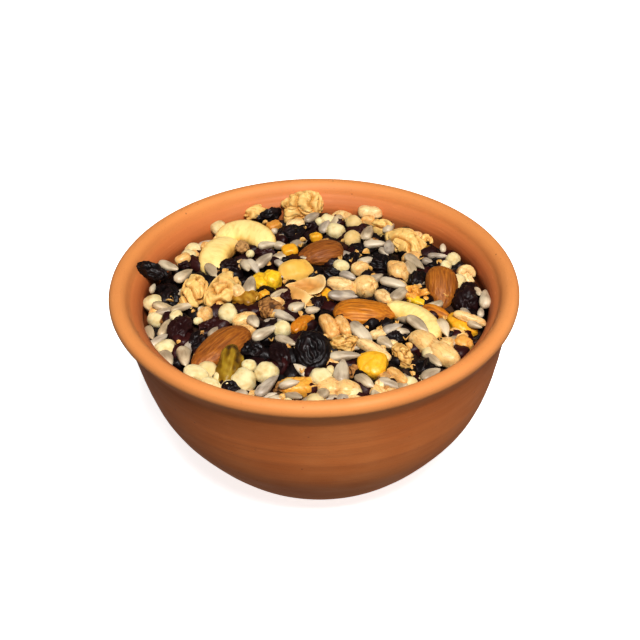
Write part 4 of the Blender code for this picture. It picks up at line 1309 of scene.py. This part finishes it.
FRUIT_BITS = (
    (329, 297, -42, 8.0, 4.6, 3.8, 1.8), (290, 251, 10, 6.0, 5.4, 4.4, 2.6),
    (274, 226, 20, 5.6, 4.4, 3.6, 2.6), (264, 295, 30, 4.4, 3.6, 3.2, 2.4),
    (416, 301, -18, 7.2, 3.6, 3.2, 1.6), (316, 237, 10, 4.6, 3.6, 3.2, 2.4),
)
RAISIN_BITS = (
    (184, 264, 10, 5.0, 4.2, 3.6, 4.6), (197, 341, 40, 8.0, 6.4, 5.0, 1.2), (264, 253, 0, 8.4, 4.4, 4.2, 1.4),
    (285, 257, 0, 7.6, 5.0, 4.4, 1.0), (285, 296, -30, 8.4, 6.4, 5.0, 1.6),
    (311, 226, 20, 6.4, 5.0, 4.6, 1.8), (352, 259, 30, 7.4, 6.0, 5.0, 1.4),
    (388, 291, 20, 8.0, 6.8, 5.0, 0.8), (397, 338, -10, 9.0, 7.0, 5.0, 1.0),
    (232, 389, -10, 6.6, 5.0, 4.6, 2.8), (320, 303, 40, 9.5, 8.0, 5.4, 0.8),
    (332, 273, -10, 7.0, 5.0, 4.2, 1.4), (345, 236, 60, 4.6, 3.6, 3.4, 1.6),
    (363, 228, 60, 4.6, 3.4, 3.4, 2.2), (476, 344, 30, 5.0, 4.4, 4.0, 1.2),
    (452, 336, 10, 5.0, 4.2, 4.0, 1.0), (303, 337, 20, 6.0, 4.6, 4.0, 1.0),
    (434, 268, 40, 7.0, 5.4, 4.6, 1.0),
)
# These ride up on the wall: x, y, slant, length, width, thickness, height over the table
WALL_NUTS = ((341, 217, 24, 9.4, 5.6, 4.8, 63.8), (370, 212, -4, 9.4, 5.0, 4.6, 66.4))
WALNUT_BITS = ((256, 212, 26, 11.5, 5.4, 5.0, 66.4), (427, 240, -50, 5.6, 4.2, 3.8, 64.6))
GREEN_SEEDS = ((428, 251, -70, 6.0, 3.8, 3.4, 63.6),)
CASHEWS = ((466, 269, 6, 8.6, 3.2, 4.0, 65.4),)
WALL_PUFFS = (
    (194, 251, 40, 7.8, 6.8, 6.4, 63.4), (219, 228, 20, 6.2, 5.6, 5.4, 65.4),
    (157, 320, -20, 6.6, 6.2, 5.6, 62.0), (453, 260, 60, 6.0, 5.4, 5.4, 64.4),
)
WALL_KERNELS = (
    (150, 333, -62, 7.0, 3.6, 2.6, 65.0), (485, 298, 80, 10.6, 4.8, 3.6, 66.0),
    (153, 288, 80, 6.4, 2.4, 2.2, 65.4), (481, 312, 70, 5.4, 2.8, 2.2, 64.4),
    (478, 292, -60, 4.4, 2.8, 2.2, 66.2),
)
# Behind the front lip the mix goes on up to the wall: direction, distance from the middle,
# slant, length, width, thickness, height over the table
HIDDEN_KERNELS = [(way, 55.2, 40 + 2 * way, 9.2, 4.6, 2.8, 62.6) for way in range(-130, -46, 12)]
HIDDEN_PUFFS = [(way, 55.0, 0, 6.2, 5.8, 5.2, 61.2) for way in range(-124, -46, 24)]
HIDDEN_NUTS = [(way, 54.8, way, 7.8, 4.8, 4.2, 61.6) for way in range(-112, -50, 24)]

print(len(KERNELS) + len(WALL_KERNELS), "kernels,", len(PUFFS) + len(WALL_PUFFS), "puffed balls")

# %% [markdown]
# ## Building the small pieces
#
# Small things never lie quite flat, so every one gets a small random lean and its own tone. Each
# could be an object, but a kind that is joined into one mesh keeps the scene light and still
# differs from piece to piece, because the tone is stored on the points.


# %% Build the small pieces, one object for each kind
MOST_LEAN = 9.0  # degrees


def by_wall(way, reach, height):
    """The point this far from the middle, in a direction in degrees, in the upright bowl."""
    return Vector((reach * math.cos(math.radians(way)), reach * math.sin(math.radians(way)), height))


def lay_all(shape, find, rows, seed):
    """Lumps for the rows of a table, each with a small random lean and its own tone."""
    rng = random.Random(seed)
    laid = []
    for number, (x, y, slant, *size, rise) in enumerate(rows):
        pitch, bank = rng.uniform(-MOST_LEAN, MOST_LEAN), rng.uniform(-MOST_LEAN, MOST_LEAN)
        lump = shape(size, seed * 31 + number)
        laid.append(lay(lump, find(x, y, rise), heading(slant), pitch, bank, rng.random()))
    return laid


SMALL = (
    ("sunflower_kernels", seed_coat, (
        (kernel, over_crown, KERNELS), (kernel, at_height, WALL_KERNELS),
        (partial(kernel, detail=4), by_wall, HIDDEN_KERNELS))),
    ("puffed_balls", puffed, (
        (puff, over_crown, PUFFS), (puff, at_height, WALL_PUFFS),
        (partial(puff, detail=4), by_wall, HIDDEN_PUFFS))),
    ("nut_bits", peanut_flesh, (
        (split_nut, over_crown, NUT_BITS), (split_nut, at_height, WALL_NUTS), (cashew, at_height, CASHEWS),
        (partial(split_nut, detail=4), by_wall, HIDDEN_NUTS))),
    ("walnut_bits", walnut_flesh, (
        (partial(walnut, detail=6), at_height, WALNUT_BITS), (cluster, over_crown, PALE_CLUSTERS))),
    ("oat_clusters", toasted, ((cluster, over_crown, CLUSTERS),)),
    ("fruit_bits", candied, ((partial(chunk, detail=5), over_crown, FRUIT_BITS),)),
    ("green_seeds", golden_skin, ((grape, at_height, GREEN_SEEDS),)),
    ("raisin_bits", raisin_skin, ((raisin, over_crown, RAISIN_BITS),)),
)
for seed, (name, finish, groups) in enumerate(SMALL, start=1):
    laid = []
    for number, group in enumerate(groups):
        laid += lay_all(*group, seed * 10 + number)
    piece = add_piece(name, laid, finish, "granola")
    print(name, len(laid), "pieces,", len(piece.data.polygons), "faces")

# %% [markdown]
# ## The bed
#
# Under the pieces that show lies the rest of the granola, and between them one only looks into
# dark gaps. Its colour is partly that of raisins and partly painted shade for those gaps, with a
# nut here and there painted as in shade: every cell of a Voronoi pattern picks one from a ramp,
# and a noise lays more painted shade over it.

# %% The bed's material: dark raisins and painted shade, with a nut here and there
mix = Finish("granola_bed", "place", roughness=0.6, specular_ior_level=0.35)
cells = mix.add("ShaderNodeTexVoronoi", {"Vector": mix.place, "Scale": 0.19})
pick = mix.add("ShaderNodeSeparateColor", {0: cells.outputs["Color"]}).outputs[0]
# painted shade: raisin colours darkened for the gaps, and the nut colours as nuts in shade
mix.colour(mix.ramp(pick, (0.0, (15, 9, 9)), (0.60, (26, 16, 15)),
                    (0.75, (52, 30, 20)), (0.95, (78, 50, 30))))
# more painted shade from a noise
mix.over((18, 10, 10), 0.6, mix.noise(1.6), 0.4, 0.7)
mix.bump(mix.noise(1.2, detail=4.0), 0.5, 0.8)
print("bed material nodes:", len(mix.tree.nodes))

# %% [markdown]
# ## The bed's shape
#
# A bumpy disc would do for what one sees, but then the granola has no body. Rings of points run
# out over the crown, down along the wall and in over the floor, so the bed is closed. Its lumps
# are the round cells of a Voronoi pattern.

# %% Build the bed
BED_SINK = 1.0  # with this the tops of the lumps just reach the crown
BED_RINGS = 66
BED_SIDES = 220
BED_EDGE = FILL_RADIUS - 0.5
PEBBLE_SPACING = 5.2
PEBBLE_RISE = 2.2
PEBBLE_SINK = 1.2
TURNS = [math.tau * side / BED_SIDES for side in range(BED_SIDES)]


def pebble(x, y):
    """Rounded lumps in the bed's surface."""
    near = noise.voronoi(Vector((x, y, 0.0)) / PEBBLE_SPACING)[0][0]
    return PEBBLE_RISE * math.sqrt(max(0.0, 1.0 - (1.35 * near) ** 2)) - PEBBLE_SINK


def bed_height(x, y, lumpy):
    return crown(x, y) - BED_SINK + pebble(x, y) * lumpy


def circle(reach):
    return [(reach * math.cos(turn), reach * math.sin(turn)) for turn in TURNS]


rows = [[(0.0, 0.0, crown(0.0, 0.0) - BED_SINK)]]
for ring in range(1, BED_RINGS + 1):
    spots = circle(BED_EDGE * ring / BED_RINGS)
    rows.append([(x, y, bed_height(x, y, lumpy=ring < BED_RINGS)) for x, y in spots])
skirt = [(r - 0.5, h) for r, h in inside[::-1] if h < FILL_AT_WALL - 5.0] + [(24.0, FLOOR + 2.4)]
rows += [[(x, y, height) for x, y in circle(reach)] for reach, height in skirt]
rows.append([(0.0, 0.0, FLOOR + 1.2)])

firsts = np.cumsum([0] + [len(row) for row in rows])
bed_faces = []
for first, row, after in zip(firsts, rows, rows[1:]):
    for side in range(BED_SIDES):
        beside = (side + 1) % BED_SIDES
        corners = [side % len(row), beside % len(row),
                   len(row) + beside % len(after), len(row) + side % len(after)]
        bed_faces.append([int(first + corner) for corner in dict.fromkeys(corners)])
bed_mesh = bpy.data.meshes.new("granola_bed")
bed_mesh.from_pydata([(x * MM, y * MM, z * MM) for row in rows for x, y, z in row], [], bed_faces)
bed_mesh.materials.append(mix.material)
bed = placed("granola_bed", bed_mesh)
outward(bed)
places = lean_over(bed_mesh, points_of(bed_mesh))
stands_for(bed, "granola")
print("bed:", len(bed_faces), "faces, top", places[:, 2].max().round(2), "mm")

# %% [markdown]
# ## Filling the gaps with Geometry Nodes
#
# Hundreds of smaller bits lie half hidden between the ones above. A tree spreads points over a
# ground at least a given distance apart, puts a random one of a few simple shapes on each, and
# turns, leans and sizes it at random. Each shape has few faces, because it is repeated so often.


# %% The scattering tree
def scattering(name, start_from, where):
    """Sets up a tree that spreads shapes where an attribute of the ground says so."""
    tree = Tree(f"scatter_{name}", **start_from)
    start = tree.start

    def chance(low, high, kind="FLOAT"):
        first = 2 if kind == "FLOAT" else 0  # its first two sockets are for vectors
        node = tree.add("FunctionNodeRandomValue", {
            first: low, first + 1: high, "Seed": start["Seed"]}, data_type=kind)
        return node.outputs[first // 2]

    spread = tree.add("GeometryNodeDistributePointsOnFaces", {
        "Mesh": start["Geometry"], "Distance Min": start["Spacing"], "Density Max": start["Density"],
        "Density Factor": tree.add("GeometryNodeInputNamedAttribute", {"Name": where}),
        "Seed": start["Seed"]}, distribute_method="POISSON")
    turn = chance((-1.0, -1.0, 0.0), (1.0, 1.0, math.tau), "FLOAT_VECTOR")
    scale = tree.add("ShaderNodeCombineXYZ", {"X": start["Lean"], "Y": start["Lean"], "Z": 1.0})
    leaning = tree.add("ShaderNodeVectorMath", {0: turn, 1: scale}, operation="MULTIPLY")
    lump = tree.add("GeometryNodeCollectionInfo", {
        "Collection": start["Shapes"], "Separate Children": True, "Reset Children": True})
    laid = tree.add("GeometryNodeInstanceOnPoints", {
        "Points": spread, "Instance": lump, "Pick Instance": True,
        "Rotation": leaning, "Scale": chance(start["Smallest"], start["Largest"])})
    raised = tree.add("GeometryNodeTranslateInstances", {
        "Instances": laid, "Local Space": False,
        "Translation": tree.add("ShaderNodeCombineXYZ", {"Z": start["Lift"]})})
    tree.finish(tree.add("GeometryNodeStoreNamedAttribute", {
        "Geometry": raised, "Name": "tone", "Value": chance(0.0, 1.0)},
        data_type="FLOAT", domain="INSTANCE"))
    return tree


print("pieces 9 mm apart that fit in:", round(math.pi * FILL_RADIUS ** 2 / 9.0 ** 2))

# %% [markdown]
# ## One object for each filling
#
# Each kind of filling is an object of its own, which keeps the materials apart. The shapes are
# put in a collection for the tree to pick from, and they are thrown away when it has run.


# %% Scatter shapes as one object
def scatter(name, shapes, finish, spacing, density, seed, lift, lean=0.5, where="all_over",
            smallest=0.8, largest=1.15):
    """Spreads a few shapes over the bed as one object, up to so many on a square metre."""
    parts = bpy.data.collections.new(f"{name}_shapes")
    for number, lump in enumerate(shapes):
        lump.grain = lump.points
        label = f"{name}_{number}"
        parts.objects.link(bpy.data.objects.new(label, mesh_of(label, lump)))
    tree = scattering(name, dict(
        Shapes=parts, Spacing=spacing * MM, Density=float(density), Seed=seed, Lift=lift * MM,
        Lean=lean, Smallest=smallest, Largest=largest, Material=finish.material), where)
    filling = grown(name, ground.copy(), tree)
    for part in list(parts.objects):
        bpy.data.objects.remove(part)
    bpy.data.collections.remove(parts)
    stands_for(filling, "granola")
    print(name, len(filling.data.polygons), "faces")


print("each filling stands for part of the granola")

# %% [markdown]
# ## Where the filling may lie
#
# The points are spread on a smooth copy of the crown, because the bed's lumps would tilt them.
# Two numbers on it say how thickly pieces may lie: the same all over, or only near the wall,
# where the granola is heaped against the front of the bowl.

# %% A smooth ground to scatter on, with a share for all over and one for the edge
GROUND_REACH = FILL_RADIUS - 3.2
GROUND_STEPS = 110
FRONT_HEAP = 11.0  # width of the heap against the front wall
FRONT_LINE = -30.0  # the front is what lies before this
SIDE_HEAP = 8.0
SIDE_SHARE = 0.35

ground = bpy.data.meshes.new("ground")
shape = bmesh.new()
bmesh.ops.create_grid(shape, x_segments=GROUND_STEPS, y_segments=GROUND_STEPS, size=GROUND_REACH)
outside = [vert for vert in shape.verts if math.hypot(vert.co.x, vert.co.y) > GROUND_REACH]
bmesh.ops.delete(shape, geom=outside, context="VERTS")
for vert in shape.verts:
    height = crown(vert.co.x, vert.co.y)
    vert.co = Vector((vert.co.x + aside(height), vert.co.y, height)) * MM
shape.to_mesh(ground)
shape.free()
spots = np.array([vert.co[:] for vert in ground.vertices]) / MM
from_wall = GROUND_REACH - np.hypot(spots[:, 0] - FOOT_ASIDE * 0.3, spots[:, 1])
near_front = (from_wall < FRONT_HEAP) & (spots[:, 1] < FRONT_LINE)
edge = np.where(near_front, 1.0, SIDE_SHARE * (from_wall < SIDE_HEAP))
for name, shares in (("all_over", np.ones(len(spots))), ("edge", edge)):
    ground.attributes.new(name, "FLOAT", "POINT").data.foreach_set("value", shares)
print("ground:", len(ground.vertices), "points")

# %% [markdown]
# ## The filling
#
# Raisins make the dark ground. Kernels, nuts, oats and crumbs lie between in smaller numbers,
# and puffs, kernels and nuts gather at the wall. Each kind has its own spacing, height and seed,
# because that is what makes the heap look poured and not arranged.


# %% Scatter the fillers
def few(shape, size, count, first=0, detail=4):
    """A few shapes of one kind, plain enough to be repeated."""
    return [shape(size, first + n, detail) for n in range(count)]


scatter("filler_raisins", few(raisin, (8.6, 6.2, 5.2), 7), raisin_skin, 5.4, 80000, seed=3, lift=0.3)
scatter("filler_kernels", few(kernel, (9.2, 4.3, 2.5), 6), seed_coat, 10.5, 5000, seed=5, lift=1.6, lean=0.4)
scatter("filler_nuts", few(split_nut, (7.4, 4.8, 4.2), 5), peanut_flesh, 13.0, 3600, seed=8, lift=0.9)
scatter("filler_oats", few(cluster, (5.8, 4.8, 3.6), 5), toasted, 14.0, 2400, seed=11, lift=1.0)
scatter("filler_crumbs", few(flake, (2.6, 1.9, 0.8), 6, detail=3), walnut_flesh, 3.0, 16000, seed=17,
        lift=2.6, lean=0.7, smallest=0.5, largest=1.3)
scatter("edge_puffs", few(puff, (6.4, 6.0, 5.6), 5), puffed, 9.0, 16000, seed=21, lift=1.6, where="edge")
scatter("edge_kernels", few(kernel, (9.4, 4.6, 2.8), 5, first=9), seed_coat, 8.5, 12000, seed=24, lift=2.2,
        lean=0.4, where="edge")
scatter("edge_nuts", few(split_nut, (8.4, 5.0, 4.4), 4, first=5), peanut_flesh, 9.0, 12000, seed=29, lift=1.2,
        where="edge")

# %% [markdown]
# ## Floor and background
#
# The bowl stands on a plain pale floor that hardly shows a join to the background. It gives off
# a little light of its own, to stay white. Diffuse light from the floor is left out, which keeps
# the underside deep, and the world is brighter from below than from above.

# %% Floor and world
paper = Finish("pale_floor", "place", roughness=0.9, specular_ior_level=0.1, emission_strength=0.8,
               emission_color=(1.0, 1.0, 1.0, 1.0))
paper.colour(paper.blend(paper.noise(180.0), (250, 250, 250), (246, 246, 246)))
floor_mesh = bpy.data.meshes.new("floor")
floor_mesh.from_pydata([(-3, -3, 0), (3, -3, 0), (3, 5, 0), (-3, 5, 0)], [], [(0, 1, 2, 3)])
floor_mesh.materials.append(paper.material)
floor = placed("floor", floor_mesh)
floor.visible_diffuse = False
floor.visible_glossy = False

world = bpy.data.worlds.new("studio")
world.use_nodes = True
sky = Nodes(world.node_tree)
background = sky.tree.nodes["Background"].inputs
_, _, height = sky.xyz(sky.add("ShaderNodeTexCoord").outputs["Generated"])
sky.tree.links.new(sky.band(height, -0.3, 0.3, 0.32, 0.13), background["Strength"])
background["Color"].default_value = (1.0, 1.0, 1.0, 1.0)
bpy.context.scene.world = world
print("floor", [round(v, 1) for v in floor.dimensions], "m")

# %% [markdown]
# ## Light
#
# A large soft light hangs high in front, a little to the right, so the inner wall and the lip
# are bright while the outside falls off to the left and below. A faint one low at the right
# picks out the bowl's side.


# %% Lights
LOOKED_AT = Vector((0.0, 0.0, 0.06))  # in the granola, in m
LIGHT_DISTANCE = 1.2


def add_light(name, azimuth, elevation, size, watts):
    """A soft square light that looks at the bowl; azimuth 0 is the camera's side, 90 the right."""
    lamp = placed(name, bpy.data.lights.new(name, "AREA"))
    lamp.data.size = size
    lamp.data.energy = watts
    turn, tilt = math.radians(azimuth), math.radians(elevation)
    away = Vector((math.sin(turn) * math.cos(tilt), -math.cos(turn) * math.cos(tilt), math.sin(tilt)))
    lamp.location = away * LIGHT_DISTANCE + LOOKED_AT
    lamp.rotation_euler = away.to_track_quat("Z", "Y").to_euler()


add_light("key", azimuth=8.0, elevation=57.0, size=0.36, watts=20.0)
add_light("side", azimuth=78.0, elevation=3.0, size=0.4, watts=2.2)
bpy.context.scene.view_settings.view_transform = "Standard"
bpy.context.scene.view_settings.gamma = 0.85

# %% [markdown]
# ## Size
#
# The finished bowl should be as large as the plain solids and no larger. Its own box in mm is printed where
# it is turned.
